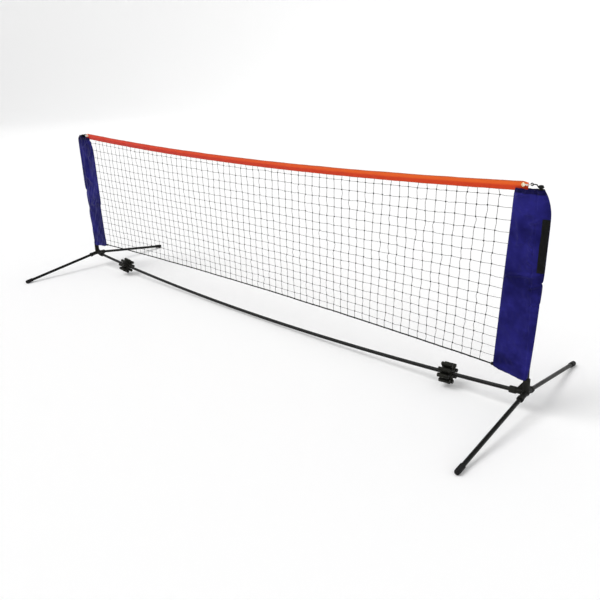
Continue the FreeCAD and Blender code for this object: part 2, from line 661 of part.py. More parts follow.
def build_net():
    """Thin slab, its top edge sagging under the band and its bottom edge over the cord."""
    body = new_body("net_mesh")
    top_edge, bottom_edge = "SleeveTop", "NetBottom"
    inner_top, inner_bottom = "SleeveInnerTop - NetGap", "SleeveInnerBottom - NetGap"
    upright_panel(body, "net_panel", [
        (f"-({inner_bottom})", bottom_edge), (inner_bottom, bottom_edge),
        (inner_top, top_edge), (f"-({inner_top})", top_edge)], "NetThickness")
    under_band = f"({BAND_RADIUS} + BandHeight + NetGap)"
    above_cord = f"({CORD_RADIUS} + BottomCordDiameter / 2 + NetGap)"
    for label, radius, centre in (
            ("band_clearance", under_band, f"BandMiddleTop + {BAND_RADIUS}"),
            ("cord_clearance", above_cord, f"BottomCordMiddle - {CORD_RADIUS}")):
        body_cylinder(body, "Subtractive", label, radius, str(NET_CUT_DEPTH),
                      (0, -NET_CUT_DEPTH / 2, value_of(centre)), Y_AXIS)
    finish(body, "net_mesh")


def build_sleeve(side, name):
    """Pole sleeve: flat fabric pocket with a round tunnel that the post passes through."""
    body = new_body(f"sleeve_{name}")
    outline = [("SleeveInnerBottom", "SleeveInnerCorner")] + SLEEVE_OUTER_EDGE
    outline.append(("SleeveInnerTop", "SleeveTop"))
    upright_panel(body, f"sleeve_panel_{name}", outline, "SleevePanel")
    hub, along = hub_point(1), post_direction(1)
    start = hub + along * ((value_of("SleeveBottom") - hub.z) / along.z)
    length = f"{(value_of('SleeveTop - SleeveBottom')) / along.z}"
    body_cylinder(body, "Additive", f"sleeve_tunnel_{name}", "SleeveTunnelDiameter / 2", length,
                  start, along)
    body_cylinder(body, "Subtractive", f"sleeve_hole_{name}", "SleeveTunnelHole / 2",
                  f"{length} + {2 * OVERRUN}", start - along * OVERRUN, along)
    finish(body, f"sleeve_{name}", Placement(Vector(), Rotation() if side > 0 else HALF_TURN))


def build_closure_strip(side, name):
    """Hook-and-loop strip sewn along the sleeve's outer edge."""
    face = value_of("SleevePanel / 2 + StripThickness + StripGap")
    corner = Vector(value_of("StripX"), -face, value_of("StripZ"))
    turn = Rotation() if side > 0 else HALF_TURN
    strip = primitive("Box", f"closure_strip_{name}",
                      Length="StripWidth", Width="StripThickness", Height="StripLength")
    finish(strip, f"closure_strip_{name}", Placement(turn.multVec(corner), turn))


# ---------------------------------------------------------------- whole object
def build_all():
    """Make every sub-part."""
    build_crossbar()
    for side, name in ((-1, "left"), (1, "right")):
        build_base_connector(side, name)
        build_post(side, name)
        hook_eye = build_hook(side, name)
        build_eyelet(side, name)
        build_tie_loop(side, name, hook_eye)
        build_sleeve(side, name)
        build_closure_strip(side, name)
        for end, place in ((-1, "front"), (1, "rear")):
            build_foot(side, end, f"{place}_{name}")
        word = name.capitalize()
        build_storage_clip(value_of(f"Clip{word}X"), value_of(f"Clip{word}Tilt"), name)
    build_band()
    build_bottom_cord()
    build_net()
    doc.recompute()


def check_and_export():
    """Refuse a failed or empty feature, then write one file for each sub-part."""
    for feature in doc.Objects:
        if {"Invalid", "Error"} & set(feature.State):
            raise RuntimeError(f"{feature.Name} failed: {feature.State}")
    os.makedirs(OUTPUT_FOLDER, exist_ok=True)
    for piece in finished_parts:
        shape = piece.Shape
        if shape.isNull() or not shape.isValid() or len(shape.Solids) != 1:
            raise RuntimeError(f"{piece.Label} is not one valid solid ({len(shape.Solids)})")
        shape.exportStep(os.path.join(OUTPUT_FOLDER, piece.Label + ".step"))
        box = shape.BoundBox
        print(f"{piece.Label:24s} {shape.Volume / 1000:9.2f} cm3  "
              f"x {box.XMin:8.1f} {box.XMax:8.1f}  y {box.YMin:7.1f} {box.YMax:7.1f}  "
              f"z {box.ZMin:7.1f} {box.ZMax:7.1f}")


fill_sheet()
build_all()
check_and_export()
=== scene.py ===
"""Looks of a portable badminton net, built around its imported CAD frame.

Sizes in the classes are millimetres in the object's own frame: X along the net, Y across it with
the front at -Y, Z up from the floor. Meshes are made in metres.
"""

import logging
import math
from dataclasses import dataclass, field
from enum import Enum
from typing import Any, Iterable, Sequence

import bpy
import numpy as np
from mathutils import Matrix, Vector

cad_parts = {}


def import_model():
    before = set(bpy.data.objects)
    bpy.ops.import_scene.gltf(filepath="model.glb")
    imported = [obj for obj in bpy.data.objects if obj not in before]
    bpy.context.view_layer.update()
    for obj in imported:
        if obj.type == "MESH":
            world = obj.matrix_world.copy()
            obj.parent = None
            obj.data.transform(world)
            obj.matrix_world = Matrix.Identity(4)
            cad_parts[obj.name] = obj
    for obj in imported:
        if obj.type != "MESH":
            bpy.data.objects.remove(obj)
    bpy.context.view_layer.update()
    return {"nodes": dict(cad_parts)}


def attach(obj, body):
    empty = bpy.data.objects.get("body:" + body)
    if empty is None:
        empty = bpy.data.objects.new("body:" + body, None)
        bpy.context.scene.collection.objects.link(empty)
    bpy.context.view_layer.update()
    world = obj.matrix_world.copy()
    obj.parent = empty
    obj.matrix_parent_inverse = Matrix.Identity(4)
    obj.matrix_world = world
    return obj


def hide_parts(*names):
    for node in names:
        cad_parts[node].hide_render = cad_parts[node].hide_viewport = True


LOG = logging.getLogger("badminton_net")
MM = 0.001
NET_BODY = "frame"


# ---------------------------------------------------------------- shader maths
def opaque(value: Any) -> Any:
    """Give a colour of three numbers its alpha; leave anything else as it is."""
    return (*value, 1.0) if isinstance(value, tuple) and len(value) == 3 else value


class Value:
    """A number inside a shader; Python arithmetic on it adds Math nodes."""

    def __init__(self, shader: "Shader", socket: bpy.types.NodeSocket) -> None:
        """Wrap a socket.

        Args:
            shader: material that owns the socket.
            socket: output that carries the number.
        """
        self.shader = shader
        self.socket = socket

    def _math(self, operation: str, first: Any, second: Any = None, clamp: bool = False) -> "Value":
        """Add one Math node.

        Args:
            operation: name of the Math operation.
            first: first operand, a Value or a number.
            second: second operand, if the operation has one.
            clamp: keep the result between 0 and 1.

        Returns:
            The node's result.
        """
        sockets = {0: first} if second is None else {0: first, 1: second}
        node = self.shader.node("ShaderNodeMath", {"operation": operation, "use_clamp": clamp}, sockets)
        return Value(self.shader, node.outputs[0])

    def __add__(self, other: Any) -> "Value":
        """Sum."""
        return self._math("ADD", self, other)

    __radd__ = __add__

    def __sub__(self, other: Any) -> "Value":
        """Difference."""
        return self._math("SUBTRACT", self, other)

    def __rsub__(self, other: Any) -> "Value":
        """Difference with this value taken away."""
        return self._math("SUBTRACT", other, self)

    def __mul__(self, other: Any) -> "Value":
        """Product."""
        return self._math("MULTIPLY", self, other)

    __rmul__ = __mul__

    def __truediv__(self, other: Any) -> "Value":
        """Quotient."""
        return self._math("DIVIDE", self, other)

    def __rtruediv__(self, other: Any) -> "Value":
        """Quotient with this value as the divisor."""
        return self._math("DIVIDE", other, self)

    def sine(self) -> "Value":
        """Sine of this value in radians."""
        return self._math("SINE", self)

    def clamped(self) -> "Value":
        """This value kept between 0 and 1."""
        return self._math("ADD", self, 0.0, clamp=True)

    def step(self, low: float, high: float) -> "Value":
        """Rise smoothly from 0 to 1.

        Args:
            low: value at which the result is 0.
            high: value at which the result is 1.

        Returns:
            The smooth step.
        """
        node = self.shader.node("ShaderNodeMapRange", {"interpolation_type": "SMOOTHSTEP"},
                                {"Value": self, "From Min": low, "From Max": high})
        return Value(self.shader, node.outputs[0])


class Shader:
    """A node material for one finish of the net."""

    def __init__(self, name: str) -> None:
        """Start a material with a Principled surface and the object's own coordinates.

        Args:
            name: material name.
        """
        self.material = bpy.data.materials.new(name)
        self.material.use_nodes = True
        self.tree = self.material.node_tree
        self.surface = self.tree.nodes["Principled BSDF"]
        self.place = self.node("ShaderNodeTexCoord").outputs["Object"]

    def node(self, kind: str, settings: dict[str, Any] | None = None,
             sockets: dict[str | int, Any] | None = None) -> bpy.types.Node:
        """Add any node.

        Args:
            kind: node type.
            settings: properties, set before the sockets.
            sockets: a value, a Value or an output for each input.

        Returns:
            The new node.
        """
        made = self.tree.nodes.new(kind)
        for name, setting in (settings or {}).items():
            setattr(made, name, setting)
        for key, value in (sockets or {}).items():
            self.join(made.inputs[key], value)
        return made

    def join(self, target: bpy.types.NodeSocket, value: Any) -> None:
        """Link an output to an input, or set the input's own value.

        Args:
            target: input socket.
            value: number, colour, Value or output socket.
        """
        source = value.socket if isinstance(value, Value) else value
        if isinstance(source, bpy.types.NodeSocket):
            self.tree.links.new(source, target)
        else:
            target.default_value = source

    def axes(self) -> tuple[Value, Value, Value]:
        """Object coordinates X, Y and Z, in metres."""
        split = self.node("ShaderNodeSeparateXYZ", sockets={0: self.place})
        return tuple(Value(self, out) for out in split.outputs)

    def stretched(self, scale: Sequence[float]) -> bpy.types.NodeSocket:
        """Object coordinates scaled differently along each axis."""
        return self.node("ShaderNodeMapping", sockets={"Vector": self.place, "Scale": scale}).outputs[0]

    def noise(self, scale: float, detail: float = 2.0, vector: Any = None) -> Value:
        """Fractal noise.

        Args:
            scale: features per metre.
            detail: octaves.
            vector: coordinates, the object's own if not given.

        Returns:
            Noise around 0.5.
        """
        made = self.node("ShaderNodeTexNoise", {"noise_dimensions": "3D"},
                         {"Vector": self.place if vector is None else vector, "Scale": scale,
                          "Detail": detail})
        return Value(self, made.outputs["Fac"])

    def cells(self, scale: float) -> Value:
        """Distance to the nearest of scattered points, for pile and grain."""
        made = self.node("ShaderNodeTexVoronoi", sockets={"Vector": self.place, "Scale": scale})
        return Value(self, made.outputs["Distance"])

    def blend(self, factor: Any, first: Any, second: Any) -> bpy.types.NodeSocket:
        """Mix two colours.

        Args:
            factor: 0 gives the first colour, 1 the second.
            first: colour or colour output.
            second: colour or colour output.

        Returns:
            The mixed colour's output.
        """
        made = self.node("ShaderNodeMix", {"data_type": "RGBA"}, {"Factor": factor})
        for name, value in (("A", first), ("B", second)):
            slot = next(s for s in made.inputs if s.name == name and s.type == "RGBA")
            self.join(slot, opaque(value))
        return next(s for s in made.outputs if s.type == "RGBA")

    def relief(self, height: Value, depth: float, strength: float = 1.0) -> None:
        """Bump the surface.

        Args:
            height: relief, 0 to 1.
            depth: height of a full step, in metres.
            strength: share of the bump that is used.
        """
        bump = self.node("ShaderNodeBump", sockets={"Height": height, "Distance": depth,
                                                    "Strength": strength})
        self.join(self.surface.inputs["Normal"], bump.outputs[0])

    def dress(self, **inputs: Any) -> bpy.types.Material:
        """Set inputs of the surface.

        Args:
            inputs: a number, colour, Value or output for each input, named with underscores for spaces.

        Returns:
            The material.
        """
        for name, value in inputs.items():
            self.join(self.surface.inputs[name.replace("_", " ")], opaque(value))
        return self.material


# ---------------------------------------------------------------- finishes
@dataclass(frozen=True)
class CoatedSteel:
    """Black powder coat: satin, with fine orange peel and a few rubbed patches."""

    name: str = "powder_coated_steel"
    dark: tuple[float, float, float] = (0.0055, 0.0055, 0.005)
    rubbed: tuple[float, float, float] = (0.020, 0.0195, 0.018)
    peel_scale: float = 700.0
    peel_depth: float = 0.00006

    def material(self) -> bpy.types.Material:
        """Build the material.

        Returns:
            The material.
        """
        shader = Shader(self.name)
        patches = shader.noise(22.0, 4.0).step(0.52, 0.78)
        streaks = shader.noise(260.0, 3.0).step(0.55, 0.8)
        colour = shader.blend(patches * 0.55 + streaks * 0.35, self.dark, self.rubbed)
        shader.relief(shader.noise(self.peel_scale, 1.0), self.peel_depth)
        return shader.dress(Base_Color=colour, Roughness=0.34 + 0.18 * patches,
                            Specular_IOR_Level=0.15)


@dataclass(frozen=True)
class MouldedPlastic:
    """Black moulded plastic with a spark-eroded grain and faint flow marks."""

    name: str
    dark: tuple[float, float, float] = (0.006, 0.006, 0.005)
    light: tuple[float, float, float] = (0.014, 0.014, 0.011)
    gloss: float = 0.44
    grain_scale: float = 1300.0
    grain_depth: float = 0.00012

    def material(self) -> bpy.types.Material:
        """Build the material.

        Returns:
            The material.
        """
        shader = Shader(self.name)
        flow = shader.noise(35.0, 3.0).step(0.35, 0.7)
        grain = shader.cells(self.grain_scale) + 0.5 * shader.noise(self.grain_scale * 0.4)
        shader.relief(grain, self.grain_depth, 0.6)
        return shader.dress(Base_Color=shader.blend(flow, self.dark, self.light),
                            Roughness=self.gloss + 0.16 * flow, Specular_IOR_Level=0.12)


@dataclass(frozen=True)
class FootRubber:
    """Matt black rubber, dusty where it stands on the floor."""

    name: str = "foot_rubber"
    dark: tuple[float, float, float] = (0.009, 0.009, 0.009)
    dusty: tuple[float, float, float] = (0.075, 0.070, 0.062)
    dust_height: float = 0.006

    def material(self) -> bpy.types.Material:
        """Build the material.

        Returns:
            The material.
        """
        shader = Shader(self.name)
        height = shader.axes()[2]
        speckle = shader.noise(420.0, 3.0)
        dust = (1.0 - height.step(0.0, self.dust_height)) * speckle.step(0.35, 0.65)
        shader.relief(speckle, 0.00015, 0.7)
        return shader.dress(Base_Color=shader.blend(dust, self.dark, self.dusty),
                            Roughness=0.72 + 0.2 * dust, Specular_IOR_Level=0.2)


@dataclass(frozen=True)
class WovenCloth:
    """Plain woven, coated polyester: two sets of threads, soft mottling that is partly painted fold light
    and shade, painted shade along the top edge, and a slight sheen.
    """

    name: str
    # deep and bright span the cloth's own tone and also painted fold light and shade.
    deep: tuple[float, float, float]
    bright: tuple[float, float, float]
    # Colour and starting height of the painted shade along the sleeve's top edge.
    edge_darkening: tuple[float, float, float] = (0.0035, 0.003, 0.018)
    top_shade_from: float = 0.815
    thread: float = 0.0011
    thread_depth: float = 0.00010
    gloss: float = 0.33
    shine: float = 0.08
    shine_tint: tuple[float, float, float] = (0.42, 0.40, 1.0)

    def material(self) -> bpy.types.Material:
        """Build the material.

        Returns:
            The material.
        """
        shader = Shader(self.name)
        along, _, up = shader.axes()
        turn = 2 * math.pi / self.thread
        warp = (along * turn).sine()
        weft = (up * turn).sine()
        weave = 0.5 + 0.25 * (warp + weft) + 0.2 * warp * weft
        # Mottling: the cloth's own uneven tone, its contrast raised to paint fold light and shade.
        tone_and_fold_shading = shader.noise(7.0, 4.0).step(0.3, 0.7)
        # Streaks of painted fold light and shade, stretched along the cloth.
        fold_shading_streaks = shader.noise(1.0, 3.0, shader.stretched((30.0, 30.0, 42.0))).step(0.45, 0.75)
        fibre = shader.noise(2.0, 4.0, shader.stretched((300.0, 300.0, 40.0)))
        colour = shader.blend((tone_and_fold_shading * 0.6 + fold_shading_streaks * 0.22 + fibre * 0.15).clamped(), self.deep,
                              self.bright)
        # Painted shade along the sleeve's top edge: the colour darkens over its topmost band.
        edge_darkening = up.step(self.top_shade_from - 0.004, self.top_shade_from) * 0.75
        colour = shader.blend(edge_darkening, colour, self.edge_darkening)
        shader.relief(weave + 0.4 * fibre, self.thread_depth, 0.7)
        return shader.dress(Base_Color=colour, Roughness=self.gloss + 0.14 * fibre,
                            Specular_IOR_Level=self.shine, Specular_Tint=self.shine_tint)


@dataclass(frozen=True)
class BandTape:
    """Coated orange tape, redder towards one end; below the crease redder and darker (the darkening is
    painted shade), and darker along the fold and along the lower edge.
    """

    name: str = "band_tape"
    orange: tuple[float, float, float] = (0.74, 0.110, 0.014)
    # Colours below the crease: a redder hue, darkened as painted shade of the tape's lower slope.
    shaded_deep_orange: tuple[float, float, float] = (0.60, 0.043, 0.006)
    red: tuple[float, float, float] = (0.62, 0.040, 0.017)
    shaded_deep_red: tuple[float, float, float] = (0.50, 0.024, 0.011)
    # Colour of the darkening along the fold and along the lower edge.
    edge_dark_colour: tuple[float, float, float] = (0.34, 0.085, 0.022)
    fade_from: float = 1.3
    fade_to: float = -1.2
    rib: float = 0.0013
    rib_depth: float = 0.00012

    def material(self) -> bpy.types.Material:
        """Build the material.

        Returns:
            The material.
        """
        shader = Shader(self.name)
        along, _, up = shader.axes()
        blotch = shader.noise(14.0, 3.0)
        fade = (1.0 - along.step(self.fade_to, self.fade_from) + 0.4 * (blotch - 0.5)).clamped()
        reach = along / (LAYOUT.band_half_length * MM)
        below = LAYOUT.band_middle_top * MM + LAYOUT.band_sag * MM * (reach * reach) - up
        # Below the crease the colour turns deeper: partly a redder hue, partly painted shade of the lower
        # slope.
        lower = below.step(0.009, 0.019)
        upper_colour = shader.blend(fade, self.orange, self.red)
        lower_colour = shader.blend(fade, self.shaded_deep_orange, self.shaded_deep_red)
        colour = shader.blend((lower + 0.25 * (blotch - 0.5)).clamped(), upper_colour, lower_colour)
        # Darker in patches just below the fold, and along the lower edge.
        fold_darkening = (1.0 - below.step(0.0004, 0.0045)) * shader.noise(120.0, 3.0).step(0.1, 0.6)
        edge_darkening = below.step(0.0275, 0.0305) * 0.35
        colour = shader.blend((0.8 * fold_darkening + edge_darkening).clamped(), colour, self.edge_dark_colour)
        turn = 2 * math.pi / self.rib
        ribs = (along * turn).sine() * 0.5 + (up * turn).sine() * 0.3
        shader.relief(0.5 + ribs * 0.5 + 0.5 * shader.noise(90.0, 3.0), self.rib_depth, 0.8)
        return shader.dress(Base_Color=colour, Roughness=0.46 + 0.2 * (blotch - 0.5),
                            Specular_IOR_Level=0.18)


@dataclass(frozen=True)
class FibrePile:
    """Matt fibres: hook-and-loop pile, twine or cord, depending on the grain."""

    name: str
    dark: tuple[float, float, float]
    light: tuple[float, float, float]
    grain_scale: float = 1100.0
    grain_depth: float = 0.00035
    roughness: float = 0.82

    def material(self) -> bpy.types.Material:
        """Build the material.

        Returns:
            The material.
        """
        shader = Shader(self.name)
        tuft = shader.cells(self.grain_scale)
        patch = shader.noise(60.0, 3.0)
        colour = shader.blend((0.6 * tuft + 0.5 * patch).clamped(), self.dark, self.light)
        shader.relief(tuft + 0.4 * patch, self.grain_depth)
        return shader.dress(Base_Color=colour, Roughness=self.roughness + 0.12 * (patch - 0.5),
                            Specular_IOR_Level=0.06)


@dataclass(frozen=True)
class RolledBrass:
    """Pale brass eyelet, rolled smooth, a little tarnished."""

    name: str = "rolled_brass"
    bright: tuple[float, float, float] = (0.93, 0.80, 0.50)
    tarnished: tuple[float, float, float] = (0.55, 0.38, 0.16)

    def material(self) -> bpy.types.Material:
        """Build the material.

        Returns:
            The material.
        """
        shader = Shader(self.name)
        spots = shader.noise(380.0, 4.0).step(0.5, 0.8)
        shader.relief(shader.noise(900.0, 2.0), 0.00004)
        return shader.dress(Base_Color=shader.blend(spots, self.bright, self.tarnished),
                            Metallic=1.0 - 0.25 * spots, Roughness=0.24 + 0.25 * spots)


class Finish(Enum):
    """Every finish on the net, with the record's slot it belongs to."""

    TUBE = ("steel_black", CoatedSteel())
    CONNECTOR = ("plastic_black", MouldedPlastic("connector_plastic"))
    CLIP = ("clip_black", MouldedPlastic("clip_plastic", (0.0060, 0.0060, 0.0045),
                                         (0.016, 0.016, 0.012), 0.5))
    FOOT = ("cap_black", FootRubber())
    # The sleeve's deep and bright colours lie far apart to carry painted fold light and shade as well as
    # the cloth's own tone.
    SLEEVE = ("sleeve_blue", WovenCloth("sleeve_cloth", (0.0045, 0.004, 0.050),
                                        (0.0270, 0.0245, 0.220)))
    BAND = ("band_orange", BandTape())
    STRIP = ("strip_black", FibrePile("closure_pile", (0.003, 0.003, 0.003),
                                      (0.014, 0.014, 0.014)))
    TWINE = ("twine_black", FibrePile("net_twine", (0.008, 0.008, 0.008),
                                      (0.024, 0.024, 0.023), 2200.0, 0.0001))
    CORD = ("cord_black", FibrePile("bottom_cord_yarn", (0.007, 0.007, 0.007),
                                    (0.022, 0.022, 0.021), 1800.0, 0.00012))
    TIE = ("cord_white", FibrePile("tie_cord_yarn", (0.70, 0.69, 0.64),
                                   (0.88, 0.87, 0.84), 1800.0, 0.00012, 0.7))
    HOOK = ("hook_black", MouldedPlastic("hook_coating", (0.006, 0.006, 0.006),
                                         (0.014, 0.014, 0.014), 0.3))
    EYELET = ("eyelet_brass", RolledBrass())
    THREAD = ("sleeve_blue", FibrePile("sleeve_thread", (0.012, 0.011, 0.06),
                                       (0.03, 0.028, 0.12), 2500.0, 0.00006))
    BAND_THREAD = ("band_orange", FibrePile("band_thread", (0.60, 0.05, 0.012),
                                            (0.85, 0.14, 0.03), 2500.0, 0.00006))

    @property
    def slot(self) -> str:
        """Name of the record's material slot."""
        return self.value[0]

    def material(self) -> bpy.types.Material:
        """The finish's material, made once."""
        made = bpy.data.materials.get(self.value[1].name)
        return made or self.value[1].material()


# ---------------------------------------------------------------- mesh tools
def smooth(value: np.ndarray | float, low: float, high: float) -> np.ndarray:
    """Rise smoothly from 0 at low to 1 at high."""
    share = np.clip((np.asarray(value, float) - low) / (high - low), 0.0, 1.0)
    return share * share * (3 - 2 * share)


class MeshMaker:
    """Collects tubes, grids and copies into one mesh, in millimetres."""

    def __init__(self) -> None:
        """Start empty."""
        self.points: list[np.ndarray] = []
        self.faces: list[np.ndarray] = []
        self.count = 0

    def add(self, points: np.ndarray, faces: np.ndarray) -> None:
        """Add points and four-sided faces.

        Args:
            points: (n, 3) array.
            faces: (m, 4) array of indices into these points.
        """
        self.points.append(np.asarray(points, float))
        self.faces.append(np.asarray(faces, int) + self.count)
        self.count += len(points)

    def add_grid(self, grid: np.ndarray, close_rows: bool = False, close_columns: bool = False,
                 keep: np.ndarray | None = None) -> None:
        """Add a grid of points.

        Args:
            grid: (rows, columns, 3) array.
            close_rows: join the last row to the first.
            close_columns: join the last column to the first.
            keep: which faces to keep, by the faces' rows and columns.
        """
        rows, columns = grid.shape[:2]
        number = np.arange(rows * columns).reshape(rows, columns)
        if close_rows:
            number = np.vstack([number, number[:1]])
        if close_columns:
            number = np.hstack([number, number[:, :1]])
        faces = np.stack([number[:-1, :-1], number[:-1, 1:], number[1:, 1:], number[1:, :-1]], -1)
        faces = faces[keep] if keep is not None else faces.reshape(-1, 4)
        self.add(grid.reshape(-1, 3), faces)

    def add_tube(self, path: np.ndarray, radius: float | np.ndarray, sides: int,
                 closed: bool = False, lobes: int = 0, pitch: float = 1.0,
                 lobe_depth: float = 0.0) -> None:
        """Sweep a round or stranded section along a path.

        Args:
            path: (n, 3) centre line.
            radius: one radius, or one for each point.
            sides: points around the section.
            closed: join the end to the start.
            lobes: number of twisted strands that show, 0 for a round section.
            pitch: length of one full twist.
            lobe_depth: share of the radius by which the strands stand out.
        """
        path = np.asarray(path, float)
        if closed:
            ahead, behind = np.roll(path, -1, 0), np.roll(path, 1, 0)
        else:
            ahead = np.vstack([path[1:], 2 * path[-1:] - path[-2:-1]])
            behind = np.vstack([2 * path[:1] - path[1:2], path[:-1]])
        tangent = ahead - behind
        tangent /= np.linalg.norm(tangent, axis=1)[:, None]
        normal = np.empty_like(path)
        helper = np.array([0.0, 1.0, 0.0]) if abs(tangent[0, 1]) < 0.9 else np.array([0.0, 0.0, 1.0])
        current = helper - tangent[0] * (helper @ tangent[0])
        for index, direction in enumerate(tangent):
            current = current - direction * (current @ direction)
            current /= np.linalg.norm(current)
            normal[index] = current
        side = np.cross(tangent, normal)
        angle = np.linspace(0, 2 * math.pi, sides, endpoint=False)
        steps = np.linalg.norm(np.diff(path, axis=0), axis=1)
        length = np.concatenate([[0.0], np.cumsum(steps)])
        swell = 1 + lobe_depth * np.cos(lobes * (angle[None] - 2 * math.pi * length[:, None] / pitch))
        reach = np.broadcast_to(np.asarray(radius, float), (len(path),))[:, None] * swell
        ring = (np.cos(angle)[None, :, None] * normal[:, None]
                + np.sin(angle)[None, :, None] * side[:, None])
        self.add_grid(path[:, None] + reach[..., None] * ring, closed, True)
        if not closed:
            self._cap(path[0], reach[0].mean(), -tangent[0], normal[0], side[0], sides)
            self._cap(path[-1], reach[-1].mean(), tangent[-1], normal[-1], side[-1], sides)

    def _cap(self, centre: np.ndarray, radius: float, outward: np.ndarray, normal: np.ndarray,
             side: np.ndarray, sides: int) -> None:
        """Round off a tube's end.

        Args:
            centre: end of the centre line.
            radius: radius of the tube there.
            outward: direction out of the tube.
            normal: first axis of the section.
            side: second axis of the section.
            sides: points around the section.
        """
        angle = np.linspace(0, 2 * math.pi, sides, endpoint=False)
        ring = np.cos(angle)[:, None] * normal + np.sin(angle)[:, None] * side
        rows = [centre + radius * (math.cos(a) * ring + math.sin(a) * outward)
                for a in (0.0, 0.8, 1.35, math.pi / 2)]
        self.add_grid(np.array(rows), False, True)

    def add_copies(self, maker: "MeshMaker", places: np.ndarray, turns: np.ndarray) -> None:
        """Add many turned copies of a small mesh.

        Args:
            maker: the small mesh.
            places: (n, 3) positions.
            turns: (n, 3, 3) rotation matrices.
        """
        shape, faces = np.vstack(maker.points), np.vstack(maker.faces)
        points = np.einsum("nij,vj->nvi", turns, shape) + places[:, None]
        offset = np.arange(len(places))[:, None, None] * len(shape)
        self.add(points.reshape(-1, 3), (faces[None] + offset).reshape(-1, 4))

    def place(self, name: str, material: bpy.types.Material) -> bpy.types.Object:
        """Make a smooth-shaded object, in metres, and put it in the scene.

        Args:
            name: object name.
            material: its material.

        Returns:
            The new object.
        """
        mesh = bpy.data.meshes.new(name)
        points = np.vstack(self.points) * MM
        mesh.from_pydata(points.tolist(), [], np.vstack(self.faces).tolist())
        mesh.validate()
        mesh.polygons.foreach_set("use_smooth", [True] * len(mesh.polygons))
        mesh.materials.append(material)
        placed = bpy.data.objects.new(name, mesh)
        bpy.context.scene.collection.objects.link(placed)
        return placed

    def build(self, name: str, finish: Finish) -> bpy.types.Object:
        """Make a piece of the net, with its finish and body.

        Args:
            name: piece name.
            finish: finish of the piece.

        Returns:
            The new piece.
        """
        piece = self.place(name, finish.material())
        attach(piece, NET_BODY)
        return piece


def solidify(piece: bpy.types.Object, thickness: float) -> None:
    """Give a cloth surface its thickness.

    Args:
        piece: open surface.
        thickness: in millimetres.
    """
    made = piece.modifiers.new("cloth_thickness", "SOLIDIFY")
    made.thickness = thickness * MM
    made.offset = 0.0
    made.use_rim = True


def trefoil(count: int, depth: float) -> np.ndarray:
    """Centre line of a pulled-tight knot, six across, facing along X.

    Args:
        count: points on the line.
        depth: half its thickness along X.

    Returns:
        (count, 3) closed line.
    """
    turn = np.linspace(0, 2 * math.pi, count, endpoint=False)
    return np.stack([depth * np.sin(3 * turn), np.sin(turn) + 2 * np.sin(2 * turn),
                     np.cos(turn) - 2 * np.cos(2 * turn)], -1)


def turned_grid(profile: Sequence[tuple[float, float]], sides: int) -> np.ndarray:
    """Points of a closed profile turned about the Y axis.

    Args:
        profile: (radius, y) corners of the closed section.
        sides: points around.

    Returns:
        (sides, len(profile), 3) grid.
    """
    angle = np.linspace(0, 2 * math.pi, sides, endpoint=False)[:, None]
    radius, across = np.array(profile, float).T
    return np.stack([radius * np.cos(angle), across + 0 * angle, radius * np.sin(angle)], -1)


def spline(points: Sequence[Sequence[float]], count: int, closed: bool = False) -> np.ndarray:
    """Smooth Catmull-Rom line through points.

    Args:
        points: corners to pass through.
        count: points on the line for each span.
        closed: join the end to the start.

    Returns:
        (n, 3) line.
    """
    knots = np.asarray(points, float)
    if closed:
        padded = np.vstack([knots[-1:], knots, knots[:2]])
    else:
        padded = np.vstack([2 * knots[:1] - knots[1:2], knots, 2 * knots[-1:] - knots[-2:-1]])
    share = np.linspace(0, 1, count, endpoint=False)[:, None]
    line = []
    for index in range(len(padded) - 3):
        before, start, end, after = padded[index:index + 4]
        line.append(0.5 * (2 * start + (end - before) * share
                           + (2 * before - 5 * start + 4 * end - after) * share ** 2
                           + (3 * start - before - 3 * end + after) * share ** 3))
    made = np.vstack(line)
    return made if closed else np.vstack([made, knots[-1:]])


@dataclass(frozen=True)
class Waves:
    """Smooth irregular waviness along a line or over a surface, the same on every run."""

    seed: int
    longest: float
    shortest: float
    count: int
    height: float

    def at(self, where: np.ndarray, pattern: int = 0) -> np.ndarray:
        """Work out the waviness at some places.

        Args:
            where: (n,) positions on a line, or (..., 2) points on a surface.
            pattern: added to the seed, for another pattern of the same kind.

        Returns:
            One number for each place, about -height to height.
        """
        random = np.random.RandomState(self.seed + pattern)
        spots = where[:, None] if where.ndim == 1 else where
        total = np.zeros(spots.shape[:-1])
        for length in np.geomspace(self.longest, self.shortest, self.count):
            heading = random.uniform(0, 2 * math.pi)
            phase = random.uniform(0, 2 * math.pi)
            on_line = spots.shape[-1] == 1
            direction = np.ones(1) if on_line else np.array([math.cos(heading), math.sin(heading)])
            share = (length / self.longest) ** 0.5
            total += share * np.sin(spots @ direction * 2 * math.pi / length + phase)
        return self.height * total / math.sqrt(self.count)


